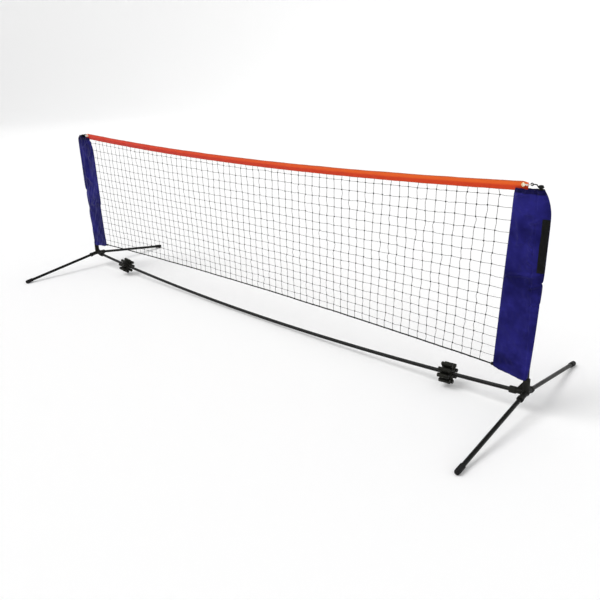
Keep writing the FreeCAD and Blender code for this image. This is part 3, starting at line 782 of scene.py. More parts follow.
# ---------------------------------------------------------------- where the parts of the net lie
@dataclass(frozen=True)
class NetLayout:
    """Curves that the band, the twine, the cord, the sleeves and the posts share."""

    half_base: float = 1470.0
    hub_height: float = 82.5
    post_top: float = 826.5
    post_lean: float = 29.0
    band_middle_top: float = 817.0
    band_sag: float = 35.9
    band_half_length: float = 1398.0
    band_height: float = 31.4
    cord_middle: float = 179.0
    cord_rise: float = 21.7
    cord_half_span: float = 1332.0
    sleeve_bottom_corner: tuple[float, float] = (1333.0, 151.0)
    sleeve_top_corner: tuple[float, float] = (1351.5, 828.0)
    eyelet: tuple[float, float] = (1381.0, 840.5)

    def band_top(self, x: np.ndarray | float) -> np.ndarray:
        """Height of the band's fold."""
        return self.band_middle_top + self.band_sag * (np.asarray(x) / self.band_half_length) ** 2

    def band_bottom(self, x: np.ndarray | float) -> np.ndarray:
        """Height of the band's lower edge."""
        return self.band_top(x) - self.band_height

    def cord(self, x: np.ndarray | float) -> np.ndarray:
        """Height of the bottom cord."""
        return self.cord_middle - self.cord_rise * (np.asarray(x) / self.cord_half_span) ** 2

    def post(self, z: np.ndarray | float) -> np.ndarray:
        """Distance of a post's axis from the middle of the net, at a height."""
        share = (np.asarray(z) - self.hub_height) / (self.post_top - self.hub_height)
        return self.half_base - self.post_lean * share

    def seam(self, z: np.ndarray | float) -> np.ndarray:
        """Distance of a sleeve's inner edge from the middle of the net, at a height."""
        (low_x, low_z), (high_x, high_z) = self.sleeve_bottom_corner, self.sleeve_top_corner
        return low_x + (high_x - low_x) * (np.asarray(z) - low_z) / (high_z - low_z)


LAYOUT = NetLayout()


# ---------------------------------------------------------------- netting
@dataclass
class Netting:
    """Hand-knotted black twine: upright and level strands, with a knot at every crossing."""

    columns: int = 64
    rows: int = 16
    pitch_top: float = 41.6
    pitch_bottom: float = 41.0
    shift: float = 4.5
    right_gather: float = 15.0
    gather_span: tuple[float, float] = (250.0, 1400.0)
    first_gap: float = 16.0
    first_gap_rise: float = 3.0
    last_gap: float = 32.0
    top_step: float = 39.5
    bottom_step: float = 35.0
    mesh_width: float = 41.0
    mesh_height: float = 38.0
    column_drift: Waves = Waves(100, 420.0, 90.0, 4, 1.5)
    row_drift: Waves = Waves(300, 900.0, 120.0, 5, 1.3)
    billow: Waves = Waves(41, 1400.0, 260.0, 5, 1.8)
    spread_across: float = 1.1
    spread_up: float = 0.9
    upright_radius: float = 0.92
    upright_bow: float = 1.25
    into_band: float = 7.0
    outer_lean: float = 9.0
    level_radius: float = 0.78
    level_sag: float = 0.7
    level_sag_spread: float = 0.6
    past_seam: float = 12.0
    knot_radius: float = 2.7
    lashing: float = 3.1
    lashing_radius: float = 0.75
    lashing_half_gap: float = 0.8
    seed: int = 7
    knots: np.ndarray = field(init=False)
    random: np.random.RandomState = field(init=False)

    def __post_init__(self) -> None:
        """Place the knots: an even grid that sags, wanders and is a little untidy."""
        self.random = np.random.RandomState(self.seed)
        steps = np.linspace(self.top_step, self.bottom_step, self.rows - 1)
        share = np.concatenate([[0.0], np.cumsum(steps)]) / steps.sum()
        number = np.arange(self.columns) - (self.columns - 1) / 2
        self.knots = np.zeros((self.columns, self.rows, 3))
        for row in range(self.rows):
            pitch = self.pitch_top + (self.pitch_bottom - self.pitch_top) * share[row]
            gathered = self.right_gather * smooth(number * pitch, *self.gather_span)
            self.knots[:, row, 0] = number * pitch + self.shift - gathered
        x = self.knots[..., 0]
        gap = self.first_gap + self.first_gap_rise * (x / LAYOUT.cord_half_span) ** 2
        high = LAYOUT.band_bottom(x) - gap
        low = LAYOUT.cord(x) + self.last_gap
        self.knots[..., 2] = high + (low - high) * share[None]
        height = np.arange(self.rows) * self.mesh_height
        for column in range(self.columns):
            self.knots[column, :, 0] += self.column_drift.at(height, column)
        span = np.arange(self.columns) * self.mesh_width
        for row in range(self.rows):
            self.knots[:, row, 2] += self.row_drift.at(span, row)
        self.knots[..., 0] += self.random.normal(0, self.spread_across, x.shape)
        self.knots[..., 2] += self.random.normal(0, self.spread_up, x.shape)
        self.knots[..., 1] = self.billow.at(self.knots[..., [0, 2]])

    def _between(self, start: np.ndarray, end: np.ndarray, count: int,
                 sideways: np.ndarray, bow: float) -> np.ndarray:
        """Points of one mesh side, bowed a little.

        Args:
            start: knot where it starts.
            end: knot where it ends.
            count: points after the start, without the end.
            sideways: direction of the bow.
            bow: how far it bows.

        Returns:
            (count + 1, 3) points, the start included.
        """
        share = np.linspace(0, 1, count + 1, endpoint=False)[:, None]
        wave = np.sin(math.pi * share) + 0.45 * np.sin(2 * math.pi * share)
        return start + (end - start) * share + sideways * bow * wave

    def upright(self, column: int) -> np.ndarray:
        """Centre line of one upright strand, from inside the band to the bottom cord.

        Args:
            column: number of the strand, from the left.

        Returns:
            (n, 3) line.
        """
        first = self.knots[column, 0]
        edge = abs(first[0]) / LAYOUT.cord_half_span
        lean = self.outer_lean * np.sign(first[0]) * smooth(edge, 0.93, 1.0)
        top_x = first[0] + self.random.normal(0, 1.6) - lean
        top = np.array([top_x, 0.0, float(LAYOUT.band_bottom(top_x)) + self.into_band])
        last = self.knots[column, -1]
        bottom_x = last[0] + self.random.normal(0, 1.2)
        bottom = np.array([bottom_x, 0.0, float(LAYOUT.cord(bottom_x)) + 1.0])
        corners = [top, *self.knots[column], bottom]
        sideways = np.array([1.0, 0.25, 0.0])
        parts = [self._between(a, b, 3, sideways, self.random.normal(0, self.upright_bow))
                 for a, b in zip(corners, corners[1:])]
        return np.vstack(parts + [bottom[None]])

    def level(self, row: int) -> np.ndarray:
        """Centre line of one level strand, from seam to seam.

        Args:
            row: number of the strand, from the top.

        Returns:
            (n, 3) line.
        """
        line = self.knots[:, row]
        ends = []
        for side, knot in ((-1, line[0]), (1, line[-1])):
            reach = float(LAYOUT.seam(knot[2])) + self.past_seam
            ends.append(np.array([side * reach, 0.0, knot[2] + self.random.normal(0, 1.5)]))
        corners = [ends[0], *line, ends[1]]
        down = np.array([0.0, 0.2, -1.0])
        parts = [self._between(a, b, 2, down,
                               self.level_sag + self.random.normal(0, self.level_sag_spread))
                 for a, b in zip(corners, corners[1:])]
        return np.vstack(parts + [ends[1][None]])

    def _knot(self) -> MeshMaker:
        """One pulled-tight knot of twine, facing the front.

        Returns:
            The knot's mesh.
        """
        line = trefoil(15, -1.0)[:, [1, 0, 2]]
        maker = MeshMaker()
        maker.add_tube(line * self.knot_radius / 3, 1.15 * self.upright_radius, 4, closed=True)
        return maker

    def _lashings(self, maker: MeshMaker) -> None:
        """Add the turns of twine that hold each upright strand on the bottom cord.

        Args:
            maker: the netting's mesh.
        """
        turn = np.linspace(0, 2 * math.pi, 12, endpoint=False)
        for column in range(self.columns):
            x = self.knots[column, -1, 0]
            height = float(LAYOUT.cord(x))
            slant = self.random.normal(0, 0.5)
            for shift in (-self.lashing_half_gap, self.lashing_half_gap):
                ring = np.stack([x + shift + slant * np.cos(turn), self.lashing * np.sin(turn),
                                 height + self.lashing * np.cos(turn)], -1)
                maker.add_tube(ring, self.lashing_radius, 5, closed=True)

    def build(self) -> bpy.types.Object:
        """Make the netting.

        Returns:
            The netting.
        """
        maker = MeshMaker()
        for column in range(self.columns):
            maker.add_tube(self.upright(column), self.upright_radius, 5)
        for row in range(self.rows):
            maker.add_tube(self.level(row), self.level_radius, 5)
        places = self.knots.reshape(-1, 3)
        turns = [Matrix.Rotation(tilt, 3, "Y") for tilt in self.random.uniform(-0.9, 0.9, len(places))]
        maker.add_copies(self._knot(), places, np.array(turns))
        self._lashings(maker)
        piece = maker.build("netting_twine", Finish.TWINE)
        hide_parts("net_mesh")
        return piece


# ---------------------------------------------------------------- bottom cord
@dataclass
class BottomCord:
    """Three-strand cord along the foot of the net, knotted where it enters each sleeve."""

    radius: float = 2.8
    pitch: float = 21.0
    strand_depth: float = 0.13
    step: float = 3.2
    jog: Waves = Waves(51, 500.0, 45.0, 7, 0.7)
    sway: Waves = Waves(52, 600.0, 80.0, 5, 0.8)
    past_seam: float = 6.0
    knot_size: float = 4.6
    knot_setback: float = 3.0

    def line(self) -> np.ndarray:
        """Centre line, arched, with the slight jogs that the lashings pull into it.

        Returns:
            (n, 3) line.
        """
        end = LAYOUT.cord_half_span + self.past_seam
        x = np.arange(-end, end + self.step, self.step)
        return np.stack([x, self.sway.at(x), LAYOUT.cord(x) + self.jog.at(x)], -1)

    def build(self) -> bpy.types.Object:
        """Make the cord with its two end knots.

        Returns:
            The cord.
        """
        maker = MeshMaker()
        maker.add_tube(self.line(), self.radius, 12, lobes=3, pitch=self.pitch,
                       lobe_depth=self.strand_depth)
        knot = trefoil(30, 1.1) * self.knot_size / 3
        for side in (-1, 1):
            x = side * (LAYOUT.cord_half_span - self.knot_setback)
            centre = np.array([x, 0.0, float(LAYOUT.cord(x))])
            maker.add_tube(centre + knot, self.radius * 0.95, 8, closed=True)
        piece = maker.build("bottom_cord_rope", Finish.CORD)
        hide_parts("bottom_cord")
        return piece


# ---------------------------------------------------------------- top band
@dataclass
class TopBand:
    """Tape folded over the net's top edge, creased along its middle and sewn at its lower edge."""

    tape_width: float = 63.0
    tape_thickness: float = 0.6
    station: float = 7.0
    end_station: float = 1.9
    fine_from: float = 1352.0
    fold_wave: Waves = Waves(61, 420.0, 70.0, 6, 0.55)
    edge_wave: Waves = Waves(62, 160.0, 30.0, 5, 0.4)
    sway: Waves = Waves(63, 900.0, 210.0, 5, 0.78)
    fullness: Waves = Waves(64, 300.0, 55.0, 6, 0.28)
    slip: Waves = Waves(67, 260.0, 60.0, 4, 1.2)
    pinch: float = 0.45
    pinch_span: tuple[float, float] = (1340.0, 1372.0)
    pucker: float = 0.26
    pucker_pitch: float = 12.6
    pucker_drift: Waves = Waves(66, 90.0, 30.0, 3, 1.7)
    hem_drop: float = 6.0
    hem_run: float = 23.0
    past_end: float = 9.0
    hole_radius: float = 5.4
    stitch_rise: float = 2.16
    stitch_pitch: float = 5.2
    stitch_length: float = 3.6
    stitched_half_length: float = 1346.0
    # (y, share of the height below the fold) of the front layer, from the lower edge to the fold
    section: tuple[tuple[float, float], ...] = (
        (1.00, 1.00), (1.25, 0.93), (1.50, 0.85), (1.95, 0.75), (2.50, 0.65), (3.05, 0.56),
        (3.15, 0.49), (2.80, 0.42), (2.35, 0.34), (2.00, 0.25), (1.80, 0.16), (1.60, 0.09),
        (1.20, 0.035), (0.62, 0.008), (0.0, 0.0))

    def stations(self) -> np.ndarray:
        """Positions along the band, closer together at its ends.

        Returns:
            Distances from the middle of the net.
        """
        middle = np.arange(-self.fine_from, self.fine_from, self.station)
        end = np.arange(self.fine_from, LAYOUT.band_half_length + 0.1, self.end_station)
        return np.concatenate([-end[::-1], middle[1:], end])

    def top(self, x: np.ndarray) -> np.ndarray:
        """Height of the fold, cut off aslant at the band's two ends.

        Args:
            x: distances from the middle of the net.

        Returns:
            Heights.
        """
        end = LAYOUT.band_half_length
        slant = smooth(np.abs(x), end - self.hem_run, end + self.past_end)
        return LAYOUT.band_top(x) - self.hem_drop * slant + self.fold_wave.at(x)

    def layers(self) -> np.ndarray:
        """Grid of the folded tape, from the front's lower edge over the fold to the back's.

        Returns:
            (stations, columns, 3) grid.
        """
        x = self.stations()
        top = self.top(x)
        bottom = LAYOUT.band_bottom(x) + self.edge_wave.at(x)
        pinch = 1 - self.pinch * smooth(np.abs(x), *self.pinch_span)
        gather = self.pucker * np.sin(2 * math.pi * x / self.pucker_pitch + self.pucker_drift.at(x))
        columns = []
        for layer, share_list in ((-1, self.section), (1, self.section[-2::-1])):
            for depth, share in share_list:
                fold = layer * depth * pinch * (1 + self.fullness.at(x, layer))
                y = self.sway.at(x) + fold + smooth(share, 0.7, 1.0) * gather
                height = top + (bottom - top) * share + math.sin(math.pi * share) * self.slip.at(x)
                columns.append(np.stack([x, y, height], -1))
        return np.stack(columns, 1)

    def build(self) -> list[bpy.types.Object]:
        """Make the tape and its rows of stitches.

        Returns:
            The tape and its thread.
        """
        grid = self.layers()
        centre = (grid[:-1, :-1] + grid[1:, 1:]) / 2
        away = np.hypot(np.abs(centre[..., 0]) - LAYOUT.eyelet[0], centre[..., 2] - LAYOUT.eyelet[1])
        maker = MeshMaker()
        maker.add_grid(grid, keep=away > self.hole_radius)
        tape = maker.build("top_band_tape", Finish.BAND)
        solidify(tape, self.tape_thickness)
        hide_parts("top_band")
        x = np.arange(-self.stitched_half_length, self.stitched_half_length, self.stitch_pitch)
        rows = []
        for layer, column in ((-1, 1), (1, grid.shape[1] - 2)):
            y = np.interp(x, grid[:, column, 0], grid[:, column, 1]) + layer * 0.35
            rows.append(np.stack([x, y, LAYOUT.band_bottom(x) + self.stitch_rise], -1))
        thread = stitch_rows("top_band_stitches", rows, Finish.BAND_THREAD, self.stitch_length)
        return [tape, thread]


def stitch_rows(name: str, rows: Iterable[np.ndarray], finish: Finish, length: float,
                radius: float = 0.34) -> bpy.types.Object:
    """Rows of sewn stitches, each a short rounded run of thread.

    Args:
        name: piece name.
        rows: for each row, the (n, 3) middles of its stitches.
        finish: finish of the thread.
        length: length of one stitch.
        radius: radius of the thread.

    Returns:
        The thread.
    """
    maker = MeshMaker()
    for row in rows:
        ahead = np.gradient(row, axis=0)
        ahead /= np.linalg.norm(ahead, axis=1)[:, None]
        for middle, direction in zip(row, ahead):
            run = [middle + direction * length * share for share in (-0.5, -0.3, 0.3, 0.5)]
            maker.add_tube(np.array(run), np.array([0.4, 1.0, 1.0, 0.4]) * radius, 5)
    return maker.build(name, finish)


# ---------------------------------------------------------------- sleeves
@dataclass(frozen=True)
class Crease:
    """A soft ridge or furrow in a sleeve, between two (x, z) points."""

    start: tuple[float, float]
    end: tuple[float, float]
    height: float
    width: float

    def relief(self, x: np.ndarray, z: np.ndarray) -> np.ndarray:
        """How far the cloth stands out, fading towards the crease's ends.

        Args:
            x: distances from the middle of the net.
            z: heights.

        Returns:
            Heights above the cloth.
        """
        start, end = np.array(self.start), np.array(self.end)
        span = end - start
        share = ((x - start[0]) * span[0] + (z - start[1]) * span[1]) / (span @ span)
        across = np.abs((x - start[0]) * span[1] - (z - start[1]) * span[0]) / np.linalg.norm(span)
        fade = smooth(share, -0.25, 0.25) * (1 - smooth(share, 0.75, 1.25))
        return self.height * fade * np.exp(-(across / self.width) ** 2)


def edge_at(edge: Sequence[tuple[float, float]], z: np.ndarray) -> np.ndarray:
    """Distance of a sleeve's edge, given as (x, z) points, from the middle of the net at a height."""
    return np.interp(z, [point[1] for point in edge], [point[0] for point in edge])


@dataclass
class Sleeve:
    """Cloth sleeve: two layers sewn together beside the net, wrapped round the post."""

    side: int
    name: str
    inner_edge: tuple[tuple[float, float], ...]
    outer_edge: tuple[tuple[float, float], ...]
    bottom_edge: tuple[tuple[float, float], ...]
    top_edge: tuple[tuple[float, float], ...]
    front: tuple[Crease, ...]
    back: tuple[Crease, ...]
    curl: float = 0.0
    seed: int = 1
    rows: int = 150
    columns: int = 44
    cloth: float = 0.7
    post_radius: float = 9.3
    socket_radius: float = 14.2
    socket_top: tuple[float, float] = (138.0, 175.0)
    cap_room: float = 3.2
    cap_foot: tuple[float, float] = (812.0, 834.0)
    layer_gap: float = 0.9
    hollow: float = 0.30
    slack: Waves = Waves(0, 190.0, 48.0, 6, 2.5)
    crumple: Waves = Waves(10, 44.0, 17.0, 6, 1.1)
    crease_depth: float = 5.2
    inner_fade: tuple[float, float] = (-1.0, 14.0)
    outer_fade: tuple[float, float] = (-1.0, 9.0)
    gather_depth: float = 1.1
    gather_pitch: float = 17.0
    gather_drift: Waves = Waves(5, 70.0, 30.0, 3, 2.2)
    gathered: tuple[float, float] = (770.0, 822.0)
    band_room: float = 3.2
    band_room_up: tuple[float, float] = (775.0, 822.0)
    band_room_end: tuple[float, float] = (1398.0, 1425.0)
    hem_roll: float = 2.4
    hem_rise: tuple[float, float] = (808.0, 828.0)
    fin_run: float = 30.0
    stitch_pitch: float = 6.0
    stitch_length: float = 4.2

    def _edge(self, points: Sequence[tuple[float, float]], share: np.ndarray) -> np.ndarray:
        """Points along an edge, by share of its length.

        Args:
            points: the edge's (x, z) corners.
            share: shares of its length, 0 to 1.

        Returns:
            (n, 2) points of x and z.
        """
        line = spline([(x, 0.0, z) for x, z in points], 12)[:, [0, 2]]
        length = np.concatenate([[0.0], np.cumsum(np.linalg.norm(np.diff(line, axis=0), axis=1))])
        at = share * length[-1]
        return np.stack([np.interp(at, length, line[:, 0]), np.interp(at, length, line[:, 1])], -1)

    def outline_grid(self) -> np.ndarray:
        """Fit the cloth between its four edges.

        Returns:
            (rows, columns, 2) points of x and z.
        """
        up = np.linspace(0, 1, self.rows)
        across = np.linspace(0, 1, self.columns)
        inner, outer = self._edge(self.inner_edge, up), self._edge(self.outer_edge, up)
        bottom = self._edge(self.bottom_edge, across)
        top = self._edge(self.top_edge, across)
        u, v = across[None, :, None], up[:, None, None]
        sides = inner[:, None] * (1 - u) + outer[:, None] * u
        ends = bottom[None] * (1 - v) + top[None] * v
        corners = ((inner[0] * (1 - u) + outer[0] * u) * (1 - v)
                   + (inner[-1] * (1 - u) + outer[-1] * u) * v)
        return sides + ends - corners

    def fin(self, x: np.ndarray, z: np.ndarray) -> np.ndarray:
        """How far the cloth outside the post turns out of the net's plane."""
        return self.curl * np.clip((x - LAYOUT.post(z)) / self.fin_run, 0, 1.2) ** 2

    def depth(self, x: np.ndarray, z: np.ndarray, layer: int) -> np.ndarray:
        """Signed distance of a layer from the net's plane.

        Args:
            x: distance from the middle of the net.
            z: height.
            layer: -1 for the front layer and +1 for the back one.

        Returns:
            y of the cloth.
        """
        post = LAYOUT.post(z)
        inner, outer = edge_at(self.inner_edge, z), edge_at(self.outer_edge, z)
        radius = (self.socket_radius - (self.socket_radius - self.post_radius) * smooth(z, *self.socket_top)
                  + self.cap_room * smooth(z, *self.cap_foot))
        run_in, run_out = np.maximum(post - inner, 20.0), np.maximum(outer - post, radius + 1.5)
        lift_in = radius / np.sqrt(run_in ** 2 - radius ** 2) * (x - inner)
        lift_out = radius / np.sqrt(run_out ** 2 - radius ** 2) * (outer - x)
        round_top = np.sqrt(np.maximum(radius ** 2 - (x - post) ** 2, 0.0))
        lift_in = lift_in * (1 - self.hollow * np.sin(math.pi * np.clip((x - inner) / run_in, 0, 1)))
        taut = np.where(x < post - radius * 0.9, lift_in,
                        np.where(x > post + radius * 0.6, lift_out, round_top))
        spread = self.band_room * smooth(z, *self.band_room_up) * (1 - smooth(x, *self.band_room_end))
        near_edge = np.minimum(smooth(x - inner, *self.inner_fade), smooth(outer - x, *self.outer_fade))
        spots = np.stack([x + 37 * layer, z * 0.8], -1)
        loose = self.slack.at(spots, self.seed + layer) + self.crumple.at(spots, self.seed + layer)
        chosen = self.front if layer < 0 else self.back
        creases = self.crease_depth * sum(crease.relief(x, z) for crease in chosen)
        drift = self.gather_drift.at(np.stack([x, 0.3 * z], -1), self.seed)
        gathers = smooth(z, *self.gathered) * np.sin(2 * math.pi * x / self.gather_pitch + drift)
        creases = creases + self.gather_depth * gathers + self.hem_roll * smooth(z, *self.hem_rise)
        depth = self.layer_gap + np.maximum(taut, 0) + spread + near_edge * (loose + creases)
        over_post = 0.75 + np.maximum(round_top - self.layer_gap, 0) * 0.98
        depth = np.maximum(depth, over_post)
        return layer * depth + self.fin(x, z)

    def grid(self) -> np.ndarray:
        """Join both layers: across the front layer's columns and back along the rear's.

        Returns:
            (rows, columns, 3) grid, closed along its columns.
        """
        flat = self.outline_grid()
        layers = []
        for layer, columns in ((-1, slice(None)), (1, slice(-2, 0, -1))):
            x, z = flat[:, columns, 0], flat[:, columns, 1]
            share = np.linspace(0, 1, self.columns)[columns]
            closed = np.minimum(smooth(share, 0.0, 0.035), smooth(1 - share, 0.0, 0.035))
            fin = self.fin(x, z)
            y = fin + (self.depth(x, z, layer) - fin) * (0.15 + 0.85 * closed)
            layers.append(np.stack([x, y, z], -1))
        return np.concatenate(layers, 1)

    def placed(self, points: np.ndarray) -> np.ndarray:
        """Points on this sleeve's own side of the net."""
        return points * np.array([self.side, 1.0, 1.0])

    def seam_rows(self) -> list[np.ndarray]:
        """Middles of the stitches along the seams and hems of both layers.

        Returns:
            One (n, 3) row for each seam and hem.
        """
        flat = self.outline_grid()
        rows = []
        for layer in (-1, 1):
            lines = [flat[:, 3], flat[:, -3], flat[3, 2:-2], flat[-3, 2:-2]]
            for line in lines:
                steps = np.linalg.norm(np.diff(line, axis=0), axis=1)
                length = np.concatenate([[0.0], np.cumsum(steps)])
                at = np.arange(4.0, length[-1] - 4.0, self.stitch_pitch)
                x, z = np.interp(at, length, line[:, 0]), np.interp(at, length, line[:, 1])
                y = self.depth(x, z, layer) + layer * (self.cloth / 2 + 0.12)
                rows.append(self.placed(np.stack([x, y, z], -1)))
        return rows

    def build(self) -> bpy.types.Object:
        """Make the sleeve and its stitches.

        Returns:
            The sleeve.
        """
        maker = MeshMaker()
        grid = self.placed(self.grid())
        maker.add_grid(grid if self.side > 0 else grid[:, ::-1], close_columns=True)
        piece = maker.build(f"sleeve_cloth_{self.name}", Finish.SLEEVE)
        solidify(piece, self.cloth)
        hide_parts(f"sleeve_{self.name}")
        thread = stitch_rows(f"sleeve_stitches_{self.name}", self.seam_rows(), Finish.THREAD,
                             self.stitch_length)
        return piece


@dataclass
class ClosureStrip:
    """Hook-and-loop strip sewn on one layer of a sleeve, along its outer edge."""

    sleeve: Sleeve
    layer: int
    width: float = 24.5
    low: float = 547.0
    high: float = 734.0
    thickness: float = 1.3
    tufts: Waves = Waves(77, 9.0, 2.6, 6, 0.10)

    def build(self) -> bpy.types.Object:
        """Make the strip, its edges rounded down to the cloth.

        Returns:
            The strip.
        """
        u, v = np.meshgrid(np.linspace(0, 1, 12), np.linspace(0, 1, 64))
        z = self.low + (self.high - self.low) * v
        x = edge_at(self.sleeve.outer_edge, z) - 0.4 - self.width * (1 - u)
        rim = np.minimum(smooth(np.minimum(u, 1 - u), 0.0, 0.07),
                         smooth(np.minimum(v, 1 - v), 0.0, 0.012))
        pile = self.thickness + self.tufts.at(np.stack([x, z], -1))
        surface = self.sleeve.cloth / 2
        lift = surface + pile * (0.12 + 0.88 * rim)
        y = self.sleeve.depth(x, z, self.layer)
        outside = self.sleeve.placed(np.stack([x, y + self.layer * lift, z], -1))
        inside = self.sleeve.placed(np.stack([x, y + self.layer * (surface - 0.1), z], -1))
        maker = MeshMaker()
        flip = self.layer * self.sleeve.side > 0
        maker.add_grid(outside[:, ::-1] if flip else outside)
        maker.add_grid(inside if flip else inside[:, ::-1])
        piece = maker.build(f"closure_strip_pile_{self.sleeve.name}", Finish.STRIP)
        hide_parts(f"closure_strip_{self.sleeve.name}")
        return piece


# ---------------------------------------------------------------- eyelets, tie loops and hooks
@dataclass
class CornerFittings:
    """What ties one end of the band to the top of its post."""

    side: int
    name: str
    hook_height: float = 10.0
    ring_radius: float = 8.2
    wire: float = 2.1
    eye_wire: float = 1.7
    eye_radius: float = 4.2
    hook_reach: float = 31.0
    hook_rise: float = 7.5
    cord_radius: float = 1.45
    loop_half_width: float = 6.0
    knot_scale: float = 0.95
    # (radius, y) of the rolled eyelet's closed section
    eyelet_section: tuple[tuple[float, float], ...] = (
        (4.0, -2.6), (4.15, -3.2), (4.7, -3.8), (5.6, -4.0), (6.6, -3.7), (7.3, -3.1), (7.5, -2.5),
        (7.0, -2.3), (5.4, -2.3), (5.0, -1.8), (5.0, 1.8), (5.4, 2.3), (7.0, 2.3), (7.5, 2.5),
        (7.3, 3.1), (6.6, 3.7), (5.6, 4.0), (4.7, 3.8), (4.15, 3.2), (4.0, 2.6))

    def post_tip(self) -> np.ndarray:
        """Top end of this side's post tube."""
        return np.array([LAYOUT.half_base - LAYOUT.post_lean, 0.0, LAYOUT.post_top])

    def lean(self) -> np.ndarray:
        """Direction of the post, upwards."""
        up = np.array([-LAYOUT.post_lean, 0.0, LAYOUT.post_top - LAYOUT.hub_height])
        return up / np.linalg.norm(up)

    def placed(self, points: np.ndarray) -> np.ndarray:
        """Points on this side of the net."""
        return np.asarray(points) * np.array([self.side, 1.0, 1.0])

    def eye(self) -> np.ndarray:
        """Middle of the hook's eye."""
        centre = self.post_tip() + self.lean() * self.hook_height
        return centre + np.array([-self.hook_reach, 0.0, self.hook_rise])

    def build_eyelet(self) -> bpy.types.Object:
        """Make the rolled eyelet.

        Returns:
            The eyelet.
        """
        maker = MeshMaker()
        grid = turned_grid(self.eyelet_section, 40) + [LAYOUT.eyelet[0], 0.0, LAYOUT.eyelet[1]]
        maker.add_grid(self.placed(grid)[::self.side], True, True)
        piece = maker.build(f"eyelet_ring_{self.name}", Finish.EYELET)
        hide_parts(f"band_eyelet_{self.name}")
        return piece

    def build_hook(self) -> bpy.types.Object:
        """Make the hook: a ring round the cap's neck, an arm and an eye, of one bent wire.

        Returns:
            The hook.
        """
        centre = self.post_tip() + self.lean() * self.hook_height
        turn = np.linspace(math.radians(200), math.radians(540), 26)
        ring = centre + self.ring_radius * np.stack(
            [np.cos(turn), np.sin(turn), 0.12 + 0.03 * np.cos(turn)], -1)
        eye = self.eye()
        start = centre + np.array([-self.ring_radius, 0.0, 0.8])
        arm = [ring[-1], start + [-2.6, 0, 2.6], start + [-6.0, 0, 6.4], start + [-11, 0, 7.6],
               eye + [self.eye_radius + 0.4, 0, 0.6]]
        wind = np.linspace(math.radians(8), math.radians(350), 22)
        loop = eye + self.eye_radius * np.stack([np.cos(wind), 0.22 * wind / math.pi - 0.2,
                                                 np.sin(wind)], -1)
        line = np.vstack([ring[:-1], spline(arm, 7)[:-1], loop])
        radius = np.interp(np.arange(len(line)), [0, 40, 55, len(line)],
                           [self.wire, self.wire, self.eye_wire, self.eye_wire])
        maker = MeshMaker()
        maker.add_tube(self.placed(line), radius, 12)
        piece = maker.build(f"hook_wire_{self.name}", Finish.HOOK)
        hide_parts(f"cord_hook_{self.name}")
        return piece

    def build_tie(self) -> bpy.types.Object:
        """Make the cord loop through the eyelet and the hook's eye, with its small knot.

        Returns:
            The loop.
        """
        start = np.array([LAYOUT.eyelet[0] - 0.6, 0.0, LAYOUT.eyelet[1] - 0.5])
        end = self.eye() + [1.2, 0.0, -0.6]
        span = end - start
        wide = self.loop_half_width
        corners = [start, start + span * 0.07 + [0, -wide * 0.85, 0.3],
                   start + span * 0.3 + [0, -wide, 0.4], start + span * 0.62 + [0, -wide * 0.8, -0.5],
                   start + span * 0.9 + [0, -wide * 0.62, 0], end,
                   start + span * 0.9 + [0, wide * 0.62, 0.4], start + span * 0.6 + [0, wide * 0.8, 0.6],
                   start + span * 0.3 + [0, wide, 0.2], start + span * 0.07 + [0, wide * 0.85, -0.3]]
        maker = MeshMaker()
        maker.add_tube(self.placed(spline(corners, 9, closed=True)), self.cord_radius, 10,
                       closed=True, lobes=4, pitch=9.0, lobe_depth=0.08)
        middle = start + span * 0.47 + [0, -wide * 0.95, 0]
        knot = middle + trefoil(26, 1.2) * self.knot_scale
        maker.add_tube(self.placed(knot), self.cord_radius * 0.9, 8, closed=True)
        piece = maker.build(f"tie_cord_{self.name}", Finish.TIE)
        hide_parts(f"tie_loop_{self.name}")
        return piece

    def build(self) -> list[bpy.types.Object]:
        """Make all three fittings."""
        return [self.build_eyelet(), self.build_hook(), self.build_tie()]


# ---------------------------------------------------------------- frame made in CAD
@dataclass
class TubeFrame:
    """Tubes, connectors, caps and clips: CAD shapes that keep their form and get a finish."""

    finishes: tuple[tuple[str, Finish], ...] = (
        ("crossbar_tube_", Finish.TUBE), ("post_lower_", Finish.TUBE), ("post_upper_", Finish.TUBE),
        ("foot_tube_", Finish.TUBE), ("foot_cap_", Finish.FOOT), ("base_connector_", Finish.CONNECTOR),
        ("post_cap_", Finish.CONNECTOR), ("storage_clip_", Finish.CLIP))

    def dress(self, nodes: dict[str, bpy.types.Object]) -> int:
        """Give each rigid CAD node its finish.

        Args:
            nodes: CAD nodes by name.

        Returns:
            How many nodes were dressed.
        """
        done = 0
        for name, node in nodes.items():
            for prefix, finish in self.finishes:
                if name.startswith(prefix):
                    node.data.materials.clear()
                    node.data.materials.append(finish.material())
                    done += 1
        return done


